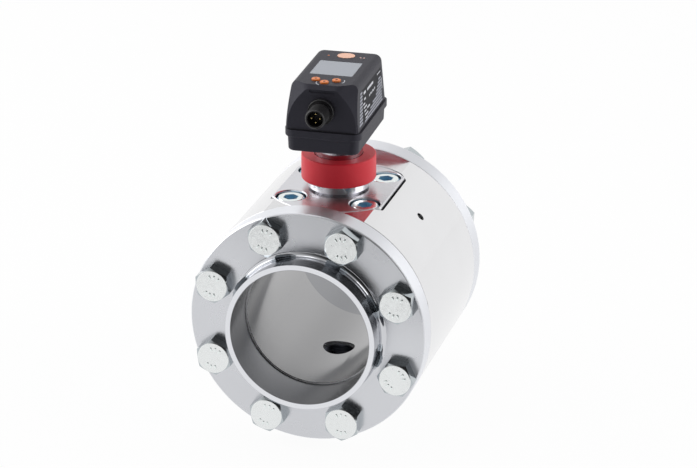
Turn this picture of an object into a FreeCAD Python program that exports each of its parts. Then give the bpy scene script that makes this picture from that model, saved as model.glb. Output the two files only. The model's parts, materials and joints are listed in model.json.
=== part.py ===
import FreeCAD
import Part
import math
import os

from FreeCAD import Vector

# Compressed air flow meter, welded into a pipe line.
# Millimetres. Origin at the centre of the inlet weld face, +Y with the flow, +Z up to the display head.

# Pipe ends and weld necks
PIPE_D = 88.9
PIPE_WALL = 3.2
NECK_LEN = 14.5
NECK_FILLET = 3.0

# Flanges, with the rim's distance from the bolt circle
FLANGE_T = 14.0
FLANGE_EDGE = 11.0
FLANGE_CHAMFER = 0.8
SEAM_CHAMFER = 0.3

# Body block: step from the pipe's bore, depth of the top flat, wall between pocket and ends
BORE_STEP = 1.0
FLAT_DROP = 6.7
END_WALL = 8.5

# Hexagon bolts of the flanges, with the turn of each head in degrees
BOLT_COUNT = 8
BOLT_D = 12.0
BOLT_FLATS = 19.0
BOLT_ROOM = 2.05
BOLT_HEAD_H = 7.5
BOLT_HEAD_FACE = 0.95
BOLT_HEAD_ANGLE = 30.0
BOLT_TIP_CHAMFER = 1.2
BOLT_HEAD_TURNS = (-2, 6, 25, 0, 10, 7, 7, 8)

# Fits of threads, holes and seals
THREAD_GAP = 0.05
HOLE_GAP = 0.5
TIP_GAP = 0.8
THIN_WALL = 1.2
SEAL_W = 3.0
SEAL_DEPTH = 2.4
SEAL_GAP = 0.1
OVERCUT = 1.0
NEAR = 0.0001

# Sensor plate and its pocket, built out from the probe
PLATE_EDGE = 1.2
PLATE_FLAT = 8.8
PLATE_CORNER = 3.0
PLATE_CHAMFER = 0.6
POCKET_GAP = 0.5
POCKET_SIDE_GAP = 1.0
SPIGOT_WALL = 1.7
SPIGOT_GAP = 0.3
SPIGOT_RISE = 1.25
SEAL_LAND = 4.0

# Socket-head screws of the plate
SCREW_D = 10.0
SCREW_ANGLE = 45.0
SCREW_LAND = 4.1
SCREW_HEAD_D = 16.0
SCREW_HEAD_H = 10.0
SCREW_HEAD_CHAMFER = 0.8
SCREW_KEY = 8.0
SCREW_KEY_DEPTH = 5.0
SCREW_SINK = 0.8
SCREW_SEAT = 3.2
COUNTERBORE_GAP = 1.0
COUNTERBORE_CHAMFER = 0.5
BORE_WALL = 3.2

# Union between plate and stem
SOCKET_FOOT_H = 1.3
SOCKET_UNDERCUT = 3.0
SOCKET_SHOULDER = 1.3
SOCKET_WALL = 5.4
SOCKET_ROOT_WALL = 4.7
SOCKET_ROOT_LEN = 9.0
SOCKET_CUP_DEPTH = 7.0
COLLAR_LIFT = 6.3
COLLAR_WALL = 5.4
COLLAR_H = 15.0
COLLAR_TOP_ROUND = 0.8
COLLAR_FOOT_ROUND = 1.0
COLLAR_LIP_T = 3.6
STEM_WALL = 6.1
STEM_STEP = 2.3
STEM_FLANGE_T = 2.4
STEM_SHOW = 12.8
STEM_CHAMFER = 0.8
WIRE_R = 5.0

# Probe in the flow
PROBE_R = 8.0
PROBE_WALL = 1.6
PROBE_GAP = 0.3
PROBE_SEAT = 5.7
PROBE_TIP_Z = 12.0
PROBE_CAP_T = 3.0
PROBE_CAP_PLUG = 4.0
PIN_R = 1.6
PIN_FLAT_R = 0.3
PIN_LEN = 7.0
PIN_HOLD = 4.0
PIN_EDGE = 0.8

# Port in the bottom of the body, closed by a plug
PORT_R = 9.5
PLUG_SEAT = 3.5
PLUG_COLLAR_H = 4.0
PLUG_SINK = 1.0
PLUG_LEN = 12.0
PLUG_KEY = 10.0
PLUG_KEY_DEPTH = 7.0
PORT_WASHER_T = 1.5
SPOT_GAP = 1.5

# Threaded earth hole in the side of the body
EARTH_HOLE_D = 5.0
EARTH_HOLE_DEPTH = 9.0
EARTH_HOLE_ANGLE = 45.0
EARTH_HOLE_SHIFT = 0.5

# Display head: shells, measured about the stem and out from the electronics
HEAD_TURN = 2.0
HEAD_FRONT = 38.6
HEAD_WALL = 2.2
HEAD_CORNER = 5.0
BASE_H = 13.0
BASE_LEAN = 0.6
BASE_FLOOR = 3.0
BASE_EDGE = 1.2
BASE_LIP_T = 4.6
LIP_OUT = 1.2
BASE_LIP_EDGE = 1.0
GASKET_T = 0.5
GASKET_INSET = 1.6
COVER_LEAN = 2.1
REAR_LEAN = 1.2
COVER_ROUND = 4.0

# Arched front face of the cover, flared back to the sides and the top
ARCH_INSET = 1.2
ARCH_DROP = 2.4
ARCH_SHOULDER = 11.0
ARCH_SLANT = 48.0
ARCH_LOW_ROUND = 27.0
ARCH_TOP_ROUND = 4.0
FLARE_SLOPE = 1.0
STEP_INSET = 2.0
STEP_H = 1.8
STEP_DEPTH = 0.5

# Swivel of the head on the stem
PIVOT_WALL = 4.0
PIVOT_GAP = 0.06
SWIVEL_GAP = 0.3
PIVOT_RISE = 3.4
CLIP_T = 1.0
CLIP_OUT = 2.5
CLIP_BITE = 1.0
SWIVEL_SEAL_W = 1.6
SWIVEL_SEAL_DEPTH = 1.2

# Screws that hold the cover to the base
BASE_SCREW_SIDE = 5.1
BASE_SCREW_INSET = 5.8
BASE_SCREW_D = 3.0
BASE_SCREW_HEAD_D = 5.5
BASE_SCREW_HEAD_H = 2.0
BASE_SCREW_KEY = 2.0
BASE_SCREW_KEY_DEPTH = 1.0
BASE_SCREW_SINK = 0.4
BASE_SCREW_BITE = 7.0
PILLAR_R = 3.4

# Display, boards and lamps
WINDOW_W = 25.2
WINDOW_L = 24.8
WINDOW_INSET = 20.6
WINDOW_GAP = 0.05
WINDOW_SINK = 0.1
WINDOW_RIM = 1.2
WINDOW_RIM_T = 0.7
WINDOW_CORNER = 0.8
DISPLAY_EDGE = 1.5
DISPLAY_GAP = 0.1
BOARD_T = 1.6
BOARD_SIDE = 1.1
BOARD_ROOM = 1.8
BOARD_NOSE = 1.7
BOARD_NOSE_SIDE = 1.0
BOARD_SHOULDER = 11.3
BOARD_MARGIN = 1.4
REAR_ROOM = 9.2
POST_R = 2.2
POST_INSET = 0.5
POST_GAP = 1.0
BOARD_SCREW_D = 2.0
BOARD_SCREW_HEAD_D = 3.8
BOARD_SCREW_HEAD_H = 1.4
BOARD_SCREW_LEN = 4.6
LAMP_R = 0.55
LAMP_LEFT = -10.1
LAMP_RIGHT = 9.05
LAMP_ROOM = 2.3
LAMP_RAISE = 0.1
LED_W = 1.6
LED_H = 0.6
LED_GAP = 0.4
MAIN_BOARD_RISE = 3.0
PILLAR_ROOM = 2.6
MAIN_POST_R = 2.4
MAIN_POST_INSET = 3.7
HEADER_SIDE = 1.6
HEADER_L = 4.0
HEADER_INSET = 0.6

# Badge plate at the rear of the top
BADGE_HALF_W = 5.2
BADGE_HALF_L = 4.5
BADGE_ROOM = 6.3
BADGE_T = 0.7
BADGE_SINK = 0.5
BADGE_GAP = 0.05

# Push buttons: side of the middle line and distance from the front
BUTTON_R = 2.5
BUTTON_RAISE = 1.0
BUTTON_GAP = 0.1
BUTTON_PLACES = {"button_left": (-1, 10.4), "button_middle": (0, 6.4), "button_right": (1, 10.8)}
BUTTON_TRAVEL = 0.6
BUTTON_FLANGE = 0.5
BUTTON_FLANGE_T = 0.6
BUTTON_SEAT_GAP = 0.2
BUTTON_EDGE = 0.5
BUTTON_DIMPLE_R = 0.9
BUTTON_DIMPLE = 0.35
GUIDE_WALL = 1.6
GUIDE_SKIRT = 0.4
SWITCH_INSET = 0.4
SWITCH_H = 0.8
SWITCH_PLUNGER_R = 1.2
SWITCH_PLUNGER_H = 0.6

# Round connector on the front of the head
CONN_R = 6.0
CONN_FOOT = 4.3
CONN_FLANGE_OUT = 1.6
CONN_FLANGE_T = 2.4
CONN_LEN = 14.6
CONN_SHELL = 1.4
CONN_MOUTH_DEPTH = 8.0
CONN_TAIL = 6.5
CONN_WALL_GAP = 0.1
CONN_EDGE = 0.4
CONN_NUT_WALL = 1.2
CONN_NUT_T = 3.0
CONN_NUT_TURN = 30.0
CONN_NUT_ROOM = 0.45
CONN_SEAL_W = 0.8
CONN_SEAL_DEPTH = 0.9
CONN_PIN_R = 0.5
CONN_PIN_FLAT_R = 0.1
CONN_PIN_CIRCLE = 2.5
CONN_PIN_COUNT = 4
CONN_PIN_LEN = 6.0
CONN_PIN_TAIL = 2.0
CONN_INSERT_GAP = 0.05

# Worked out: pipe, flanges and bolts
PIPE_R = PIPE_D / 2
PIPE_BORE_R = PIPE_R - PIPE_WALL
BOLT_R = BOLT_D / 2
BOLT_STEP = 360.0 / BOLT_COUNT
BOLT_CIRCLE_R = PIPE_R + NECK_FILLET + BOLT_ROOM + BOLT_FLATS / 2
FLANGE_R = BOLT_CIRCLE_R + FLANGE_EDGE
FLANGE_SEAL_R = (PIPE_BORE_R + BOLT_CIRCLE_R - BOLT_R - HOLE_GAP) / 2

# Worked out: union, stem and plate, outwards from the probe
STEM_R = PROBE_R + STEM_WALL
SOCKET_THREAD_R = STEM_R + STEM_STEP
SOCKET_R = SOCKET_THREAD_R + SOCKET_SHOULDER
SOCKET_FOOT_R = SOCKET_R - SOCKET_UNDERCUT
SOCKET_CUP_R = SOCKET_THREAD_R - SOCKET_WALL
SOCKET_ROOT_R = PROBE_R + PROBE_GAP + SOCKET_ROOT_WALL
COLLAR_BORE_R = SOCKET_THREAD_R + THREAD_GAP
COLLAR_R = COLLAR_BORE_R + COLLAR_WALL
PIVOT_R = WIRE_R + PIVOT_WALL
CLIP_R = PIVOT_R + CLIP_OUT
SPIGOT_R = SOCKET_ROOT_R + SPIGOT_WALL
PLATE_SEAL_R = SPIGOT_R + SPIGOT_GAP + SEAL_LAND + SEAL_W / 2
SCREW_CIRCLE_R = PLATE_SEAL_R + SEAL_W / 2 + SCREW_LAND + SCREW_D / 2 + HOLE_GAP
COUNTERBORE_R = SCREW_HEAD_D / 2 + COUNTERBORE_GAP
PLATE_R = SCREW_CIRCLE_R + COUNTERBORE_R + PLATE_EDGE
PLATE_HALF_W = PLATE_R - PLATE_FLAT
POCKET_R = PLATE_R + POCKET_GAP
PLATE_T = SCREW_SINK + SCREW_HEAD_H + SCREW_SEAT

# Worked out: body block
BODY_BORE_R = PIPE_BORE_R - BORE_STEP
BODY_LEN = 2 * (POCKET_R + END_WALL)
BODY_Y0 = NECK_LEN + FLANGE_T
BODY_Y1 = BODY_Y0 + BODY_LEN
SENSOR_Y = BODY_Y0 + BODY_LEN / 2
PLATE_TOP = FLANGE_R - FLAT_DROP
POCKET_Z = PLATE_TOP - PLATE_T
PLUG_COLLAR_R = PORT_R + PLUG_SEAT
SPOT_R = PLUG_COLLAR_R + SPOT_GAP
PIN_SPREAD = PROBE_R - PROBE_WALL - PIN_R - PIN_EDGE

# Worked out: heights from the plate to the head's base
COLLAR_Z0 = PLATE_TOP + COLLAR_LIFT
COLLAR_Z1 = COLLAR_Z0 + COLLAR_H
COLLAR_LIP_Z = COLLAR_Z1 - COLLAR_LIP_T
STEM_FLANGE_Z1 = COLLAR_LIP_Z - SEAL_GAP
SOCKET_TOP = STEM_FLANGE_Z1 - STEM_FLANGE_T
SOCKET_CUP_Z = SOCKET_TOP - SOCKET_CUP_DEPTH
HEAD_Z0 = COLLAR_Z1 + STEM_SHOW
BASE_Z1 = HEAD_Z0 + BASE_H
FLOOR_Z = HEAD_Z0 + BASE_FLOOR
COVER_Z0 = BASE_Z1 + GASKET_T
MAIN_Z0 = COVER_Z0 + MAIN_BOARD_RISE
MAIN_Z1 = MAIN_Z0 + BOARD_T
BOSS_RISE = BASE_SCREW_BITE + TIP_GAP + THIN_WALL

# Worked out: the cover's height, from its top down past buttons, board and connector
GUIDE_DROP = HEAD_WALL + GUIDE_SKIRT
BUTTON_DROP = GUIDE_DROP + BUTTON_SEAT_GAP + BUTTON_FLANGE_T
SWITCH_DROP = BUTTON_DROP + BUTTON_TRAVEL + BUTTON_SEAT_GAP
BOARD_DROP = SWITCH_DROP + SWITCH_PLUNGER_H + SWITCH_H
CONN_FLANGE_R = CONN_R + CONN_FLANGE_OUT
CONN_NUT_FLATS = 2 * (CONN_R + THREAD_GAP + CONN_NUT_WALL)
CONN_DROP = BOARD_DROP + BOARD_T + CONN_NUT_ROOM + CONN_NUT_FLATS / 2
COVER_H = CONN_DROP + CONN_FLANGE_R + CONN_FOOT
COVER_Z1 = COVER_Z0 + COVER_H
CEILING_Z = COVER_Z1 - HEAD_WALL
DISPLAY_Z1 = CEILING_Z - WINDOW_RIM_T - DISPLAY_GAP
GUIDE_Z = COVER_Z1 - GUIDE_DROP
BUTTON_FLANGE_Z1 = GUIDE_Z - BUTTON_SEAT_GAP
BUTTON_Z0 = COVER_Z1 - BUTTON_DROP
SWITCH_Z1 = COVER_Z1 - SWITCH_DROP
BOARD_Z1 = COVER_Z1 - BOARD_DROP
BOARD_Z0 = BOARD_Z1 - BOARD_T
CONN_Z = COVER_Z1 - CONN_DROP

# Worked out: the head from front to rear
WINDOW_Y0 = WINDOW_INSET - HEAD_FRONT
WINDOW_Y1 = WINDOW_Y0 + WINDOW_L
POST_Y = (WINDOW_Y0 - DISPLAY_EDGE - POST_GAP - POST_R, WINDOW_Y1 + DISPLAY_EDGE + POST_GAP + POST_R)
LAMP_Y = POST_Y[1] + POST_R + LAMP_ROOM
LAMP_SPOTS = ((LAMP_LEFT, LAMP_Y), (LAMP_RIGHT, LAMP_Y), (LAMP_RIGHT + LED_W + LED_GAP, LAMP_Y))
BADGE_Y = WINDOW_Y1 + BADGE_ROOM + BADGE_HALF_L
BOARD_FRONT = HEAD_FRONT - HEAD_WALL - BOARD_NOSE
BOARD_REAR = LAMP_Y + LED_W / 2 + BOARD_MARGIN
HEAD_REAR = BOARD_REAR + REAR_ROOM + HEAD_WALL
COVER_REAR_TOP = HEAD_REAR - REAR_LEAN
BASE_SCREW_Y = (BASE_SCREW_INSET - HEAD_FRONT, HEAD_REAR - BASE_SCREW_INSET)
MAIN_BOARD_Y0 = BASE_SCREW_Y[0] + PILLAR_R + PILLAR_ROOM
MAIN_BOARD_Y1 = BASE_SCREW_Y[1] - PILLAR_R - PILLAR_ROOM
MAIN_POST_Y = (MAIN_BOARD_Y0 + MAIN_POST_INSET, MAIN_BOARD_Y1 - MAIN_POST_INSET)
HEADER_Y1 = MAIN_BOARD_Y1 - HEADER_INSET
CONN_TIP_Y = -(HEAD_FRONT + CONN_LEN)
CONN_MOUTH_Y = CONN_TIP_Y + CONN_MOUTH_DEPTH
CONN_INNER_Y = HEAD_WALL - HEAD_FRONT
CONN_TAIL_Y = CONN_INNER_Y + CONN_TAIL
CONN_MOUTH_R = CONN_R - CONN_SHELL
CONN_SEAL_R = (CONN_R + CONN_FLANGE_R) / 2

# Worked out: the head's width, outwards from the window
POST_X = WINDOW_W / 2 - POST_INSET
BOARD_HALF_W = WINDOW_W / 2 + DISPLAY_EDGE + BOARD_SIDE
COVER_HALF_W_TOP = BOARD_HALF_W + BOARD_ROOM + HEAD_WALL
BASE_HALF_W = COVER_HALF_W_TOP + COVER_LEAN
BASE_HALF_W_LOW = BASE_HALF_W - BASE_LEAN
ARCH_HALF_W = BASE_HALF_W - ARCH_INSET
ARCH_TOP_HALF_W = ARCH_HALF_W - ARCH_SHOULDER
FLARE_DEPTH = (ARCH_SHOULDER + ARCH_DROP) / FLARE_SLOPE
BOARD_FRONT_HALF_W = ARCH_TOP_HALF_W - BOARD_NOSE_SIDE
STEP_HALF_W = ARCH_TOP_HALF_W - STEP_INSET
BASE_SCREW_X = BASE_HALF_W_LOW - BASE_SCREW_SIDE
MAIN_BOARD_HALF_W = BASE_HALF_W_LOW - HEAD_WALL - BOARD_SIDE
MAIN_POST_X = MAIN_BOARD_HALF_W - MAIN_POST_INSET
HEADER_HALF_W = POST_X - BOARD_SCREW_HEAD_D / 2 - HEADER_SIDE
BUTTON_PITCH = 2 * (BUTTON_R + BUTTON_FLANGE)
BUTTON_SPOTS = {}
for button_name, (side, inset) in BUTTON_PLACES.items():
    BUTTON_SPOTS[button_name] = (side * BUTTON_PITCH, inset - HEAD_FRONT)
SWITCH_W = 2 * (BUTTON_R - SWITCH_INSET)
BASE_SCREW_SPOTS = [(side * BASE_SCREW_X, y) for y in BASE_SCREW_Y for side in (-1, 1)]
POST_SPOTS = [(side * POST_X, y) for y in POST_Y for side in (-1, 1)]
MAIN_POST_SPOTS = [(side * MAIN_POST_X, y) for y in MAIN_POST_Y for side in (-1, 1)]

UP = Vector(0, 0, 1)
ACROSS = Vector(1, 0, 0)
ALONG = Vector(0, 1, 0)
CENTRE = Vector(0, 0, 0)
SENSOR_FOOT = Vector(0, SENSOR_Y, 0)


# Basic shapes
def cyl_z(radius, z0, z1, x=0.0, y=0.0):
    return Part.makeCylinder(radius, z1 - z0, Vector(x, y, z0), UP)


def cyl_y(radius, y0, y1, x=0.0, z=0.0):
    return Part.makeCylinder(radius, y1 - y0, Vector(x, y0, z), ALONG)


def block(x0, x1, y0, y1, z0, z1):
    return Part.makeBox(x1 - x0, y1 - y0, z1 - z0, Vector(x0, y0, z0))


def hexagon(flats, z0, z1, turn=0.0):
    reach = flats / math.sqrt(3)
    corners = []
    for k in range(7):
        angle = math.radians(90 + 60 * k + turn)
        corners.append(Vector(reach * math.cos(angle), reach * math.sin(angle), z0))
    return Part.Face(Part.makePolygon(corners)).extrude(Vector(0, 0, z1 - z0))


def rounded_wire(points, radii):
    """Closed outline through the corner points, each corner rounded by its radius."""
    edges = []
    starts = []
    ends = []
    mids = []
    count = len(points)
    for k in range(count):
        corner = points[k]
        to_last = (points[k - 1] - corner).normalize()
        to_next = (points[(k + 1) % count] - corner).normalize()
        half = to_last.getAngle(to_next) / 2
        run = radii[k] / math.tan(half)
        inward = (to_last + to_next).normalize()
        starts.append(corner + to_last * run)
        ends.append(corner + to_next * run)
        mids.append(corner + inward * (radii[k] / math.sin(half) - radii[k]))
    for k in range(count):
        if radii[k] > 0:
            edges.append(Part.Arc(starts[k], mids[k], ends[k]).toShape())
        edges.append(Part.LineSegment(ends[k], starts[(k + 1) % count]).toShape())
    return Part.Wire(edges)


def turned(profile, radii=None, axis=UP):
    """Solid of revolution from (radius, height) points; a corner may be rounded."""
    if axis == UP:
        points = [Vector(r, 0, h) for r, h in profile]
    else:
        points = [Vector(r, h, 0) for r, h in profile]
    rounds = [0.0] * len(profile)
    for index, radius in (radii or {}).items():
        rounds[index] = radius
    return Part.Face(rounded_wire(points, rounds)).revolve(CENTRE, axis, 360)


def rounded_rectangle(half_w, y0, y1, corner, z):
    points = [Vector(-half_w, y0, z), Vector(half_w, y0, z), Vector(half_w, y1, z), Vector(-half_w, y1, z)]
    return rounded_wire(points, [corner] * 4)


def slab(half_w, y0, y1, corner, z0, z1):
    face = Part.Face(rounded_rectangle(half_w, y0, y1, corner, z0))
    return face.extrude(Vector(0, 0, z1 - z0))


def edges_at_height(shape, z):
    return [e for e in shape.Edges if abs(e.BoundBox.ZMin - z) < NEAR and abs(e.BoundBox.ZMax - z) < NEAR]


def ring(inner, outer, z0, z1):
    return turned([(inner, z0), (outer, z0), (outer, z1), (inner, z1)])


def group(shapes):
    return Part.makeCompound(shapes)


# Placing: on the sensor axis, in the turned head, and at the outlet
def on_sensor(shape):
    placed = shape.copy()
    placed.translate(SENSOR_FOOT)
    return placed


def in_head(shape):
    placed = shape.copy()
    placed.rotate(CENTRE, UP, HEAD_TURN)
    return on_sensor(placed)


def at_outlet(shape):
    placed = shape.copy()
    placed.rotate(SENSOR_FOOT, UP, 180)
    return placed


# Flanges, bolts and flange seals
def bolt_angles():
    return [math.radians(BOLT_STEP * (k + 0.5)) for k in range(BOLT_COUNT)]


def bolt_spots():
    return [(BOLT_CIRCLE_R * math.sin(a), BOLT_CIRCLE_R * math.cos(a)) for a in bolt_angles()]


def bolt_hole_depth():
    inner_x = min(abs(x) for x, z in bolt_spots()) - BOLT_R
    pocket_reach = math.sqrt(POCKET_R ** 2 - inner_x ** 2)
    return BODY_LEN / 2 - pocket_reach - THIN_WALL


def weld_flange():
    back = NECK_LEN + FLANGE_T
    profile = [
        (PIPE_BORE_R, 0.0),
        (PIPE_R, 0.0),
        (PIPE_R, NECK_LEN),
        (FLANGE_R - FLANGE_CHAMFER, NECK_LEN),
        (FLANGE_R, NECK_LEN + FLANGE_CHAMFER),
        (FLANGE_R, back - SEAM_CHAMFER),
        (FLANGE_R - SEAM_CHAMFER, back),
        (PIPE_BORE_R, back),
    ]
    flange = turned(profile, {2: NECK_FILLET}, ALONG)
    holes = [cyl_y(BOLT_R + HOLE_GAP, NECK_LEN, back, x, z) for x, z in bolt_spots()]
    return flange.cut(group(holes))


def hex_bolt(turn):
    corner_r = BOLT_FLATS / math.sqrt(3)
    face_r = BOLT_FLATS / 2 * BOLT_HEAD_FACE
    edge_drop = (corner_r - face_r) * math.tan(math.radians(BOLT_HEAD_ANGLE))
    rounding = turned([
        (0, 0),
        (corner_r, 0),
        (corner_r, BOLT_HEAD_H - edge_drop),
        (face_r, BOLT_HEAD_H),
        (0, BOLT_HEAD_H),
    ])
    head = hexagon(BOLT_FLATS, 0, BOLT_HEAD_H, turn).common(rounding)
    reach = FLANGE_T + bolt_hole_depth() - TIP_GAP
    shank = turned([
        (0, 0),
        (BOLT_R, 0),
        (BOLT_R, BOLT_TIP_CHAMFER - reach),
        (BOLT_R - BOLT_TIP_CHAMFER, -reach),
        (0, -reach),
    ])
    bolt = head.fuse(shank)
    bolt.rotate(CENTRE, ACROSS, 90)
    return bolt


def flange_bolts():
    bolts = []
    for k, (x, z) in enumerate(bolt_spots()):
        bolt = hex_bolt(BOLT_HEAD_TURNS[k % len(BOLT_HEAD_TURNS)])
        bolt.translate(Vector(x, NECK_LEN, z))
        bolts.append(bolt)
    return group(bolts)


def seal_ring_y(gap):
    inner = FLANGE_SEAL_R - SEAL_W / 2 - gap
    outer = FLANGE_SEAL_R + SEAL_W / 2 + gap
    deep = BODY_Y0 + SEAL_DEPTH + gap
    return turned([(inner, BODY_Y0), (outer, BODY_Y0), (outer, deep), (inner, deep)], None, ALONG)


# Body block
def plate_blank(radius, half_w, z0, z1):
    disc = cyl_z(radius, z0, z1)
    blank = disc.common(block(-half_w, half_w, -radius, radius, z0, z1))
    corners = [e for e in blank.Edges if e.BoundBox.ZLength > (z1 - z0) / 2]
    return blank.makeFillet(PLATE_CORNER, corners)


def screw_spots():
    across = SCREW_CIRCLE_R * math.cos(math.radians(SCREW_ANGLE))
    along = SCREW_CIRCLE_R * math.sin(math.radians(SCREW_ANGLE))
    return [(sx * across, sy * along) for sx in (-1, 1) for sy in (-1, 1)]


def screw_hole_depth():
    inner_x = min(abs(x) for x, y in screw_spots()) - SCREW_D / 2
    return POCKET_Z - math.sqrt(BODY_BORE_R ** 2 - inner_x ** 2) - BORE_WALL


def spot_face_z():
    return -FLANGE_R + PLUG_SINK + PLUG_COLLAR_H + PORT_WASHER_T


def body_cuts():
    cuts = [cyl_y(BODY_BORE_R, BODY_Y0, BODY_Y1)]
    cuts.append(block(-FLANGE_R, FLANGE_R, BODY_Y0, BODY_Y1, PLATE_TOP, FLANGE_R + OVERCUT))
    pocket = plate_blank(POCKET_R, PLATE_HALF_W + POCKET_SIDE_GAP, POCKET_Z, FLANGE_R)
    cuts.append(on_sensor(pocket))
    cuts.append(cyl_z(SPIGOT_R + SPIGOT_GAP, 0, FLANGE_R, 0, SENSOR_Y))
    for x, y in screw_spots():
        low = POCKET_Z - screw_hole_depth()
        cuts.append(cyl_z(SCREW_D / 2 + THREAD_GAP, low, FLANGE_R, x, SENSOR_Y + y))
    for x, z in bolt_spots():
        hole = cyl_y(BOLT_R + THREAD_GAP, BODY_Y0, BODY_Y0 + bolt_hole_depth(), x, z)
        cuts.append(hole)
        cuts.append(at_outlet(hole))
    groove = seal_ring_y(SEAL_GAP)
    cuts.append(groove)
    cuts.append(at_outlet(groove))
    cuts.append(cyl_z(PORT_R, -FLANGE_R, 0, 0, SENSOR_Y))
    cuts.append(cyl_z(SPOT_R, -FLANGE_R - OVERCUT, spot_face_z(), 0, SENSOR_Y))
    lean = math.radians(EARTH_HOLE_ANGLE)
    outward = Vector(math.sin(lean), 0, math.cos(lean))
    start = outward * (FLANGE_R - EARTH_HOLE_DEPTH) + Vector(0, SENSOR_Y + EARTH_HOLE_SHIFT, 0)
    cuts.append(Part.makeCylinder(EARTH_HOLE_D / 2, EARTH_HOLE_DEPTH + OVERCUT, start, outward))
    return cuts


def meter_body():
    rod = turned([
        (0, BODY_Y0),
        (FLANGE_R - SEAM_CHAMFER, BODY_Y0),
        (FLANGE_R, BODY_Y0 + SEAM_CHAMFER),
        (FLANGE_R, BODY_Y1 - SEAM_CHAMFER),
        (FLANGE_R - SEAM_CHAMFER, BODY_Y1),
        (0, BODY_Y1),
    ], None, ALONG)
    for cut in body_cuts():
        rod = rod.cut(cut)
    return rod


# Sensor plate and its screws
def plate_seal(gap):
    inner = PLATE_SEAL_R - SEAL_W / 2 - gap
    outer = PLATE_SEAL_R + SEAL_W / 2 + gap
    return ring(inner, outer, POCKET_Z, POCKET_Z + SEAL_DEPTH + gap)


def sensor_plate():
    plate = plate_blank(PLATE_R, PLATE_HALF_W, POCKET_Z, PLATE_TOP)
    plate = plate.makeChamfer(PLATE_CHAMFER, edges_at_height(plate, PLATE_TOP))
    spigot = cyl_z(SPIGOT_R, BODY_BORE_R + SPIGOT_RISE, POCKET_Z)
    plate = plate.fuse(spigot)
    cuts = [cyl_z(PROBE_R + PROBE_GAP, 0, PLATE_TOP)]
    cuts.append(cyl_z(SOCKET_ROOT_R + THREAD_GAP, PLATE_TOP - SOCKET_ROOT_LEN - TIP_GAP, PLATE_TOP))
    seat = PLATE_TOP - SCREW_SINK - SCREW_HEAD_H
    for x, y in screw_spots():
        cuts.append(cyl_z(SCREW_D / 2 + HOLE_GAP, 0, PLATE_TOP, x, y))
        cuts.append(cyl_z(COUNTERBORE_R, seat, PLATE_TOP, x, y))
        mouth = Part.makeCone(COUNTERBORE_R, COUNTERBORE_R + COUNTERBORE_CHAMFER, COUNTERBORE_CHAMFER)
        mouth.translate(Vector(x, y, PLATE_TOP - COUNTERBORE_CHAMFER))
        cuts.append(mouth)
    cuts.append(plate_seal(SEAL_GAP))
    for cut in cuts:
        plate = plate.cut(cut)
    return plate


def socket_screw():
    top = PLATE_TOP - SCREW_SINK
    seat = top - SCREW_HEAD_H
    head_r = SCREW_HEAD_D / 2
    tip = POCKET_Z - screw_hole_depth() + TIP_GAP
    screw = turned([
        (0, tip),
        (SCREW_D / 2, tip),
        (SCREW_D / 2, seat),
        (head_r, seat),
        (head_r, top - SCREW_HEAD_CHAMFER),
        (head_r - SCREW_HEAD_CHAMFER, top),
        (0, top),
    ])
    return screw.cut(hexagon(SCREW_KEY, top - SCREW_KEY_DEPTH, top))


def plate_screws():
    screws = []
    for x, y in screw_spots():
        screw = socket_screw()
        screw.translate(Vector(x, y, 0))
        screws.append(screw)
    return group(screws)


# Union, stem and probe
def union_socket():
    foot_z = PLATE_TOP + SOCKET_FOOT_H
    return turned([
        (PROBE_R + PROBE_GAP, PLATE_TOP - SOCKET_ROOT_LEN),
        (SOCKET_ROOT_R, PLATE_TOP - SOCKET_ROOT_LEN),
        (SOCKET_ROOT_R, PLATE_TOP),
        (SOCKET_FOOT_R, PLATE_TOP),
        (SOCKET_FOOT_R, foot_z),
        (SOCKET_R, foot_z),
        (SOCKET_R, COLLAR_Z0),
        (SOCKET_THREAD_R, COLLAR_Z0),
        (SOCKET_THREAD_R, SOCKET_TOP),
        (SOCKET_CUP_R, SOCKET_TOP),
        (SOCKET_CUP_R, SOCKET_CUP_Z),
        (PROBE_R + PROBE_GAP, SOCKET_CUP_Z),
    ])


def union_ring():
    return turned([
        (COLLAR_BORE_R, COLLAR_Z0),
        (COLLAR_R, COLLAR_Z0),
        (COLLAR_R, COLLAR_Z1),
        (STEM_R + PROBE_GAP, COLLAR_Z1),
        (STEM_R + PROBE_GAP, COLLAR_LIP_Z),
        (COLLAR_BORE_R, COLLAR_LIP_Z),
    ], {1: COLLAR_FOOT_ROUND, 2: COLLAR_TOP_ROUND})


def stem_seal(gap):
    middle = (SOCKET_CUP_Z + SOCKET_TOP) / 2
    low = middle - SEAL_W / 2 - gap
    outer = SOCKET_CUP_R - THREAD_GAP
    return ring(outer - SEAL_DEPTH / 2 - gap, outer, low, low + SEAL_W + 2 * gap)


def swivel_seal(gap):
    middle = HEAD_Z0 + BASE_FLOOR / 2
    low = middle - SWIVEL_SEAL_W / 2 - gap
    return ring(PIVOT_R - SWIVEL_SEAL_DEPTH - gap, PIVOT_R, low, low + SWIVEL_SEAL_W + 2 * gap)


def swivel_clip(gap):
    low = FLOOR_Z + SWIVEL_GAP - gap
    return ring(PIVOT_R - CLIP_BITE, CLIP_R, low, low + CLIP_T + 2 * gap)


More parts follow.
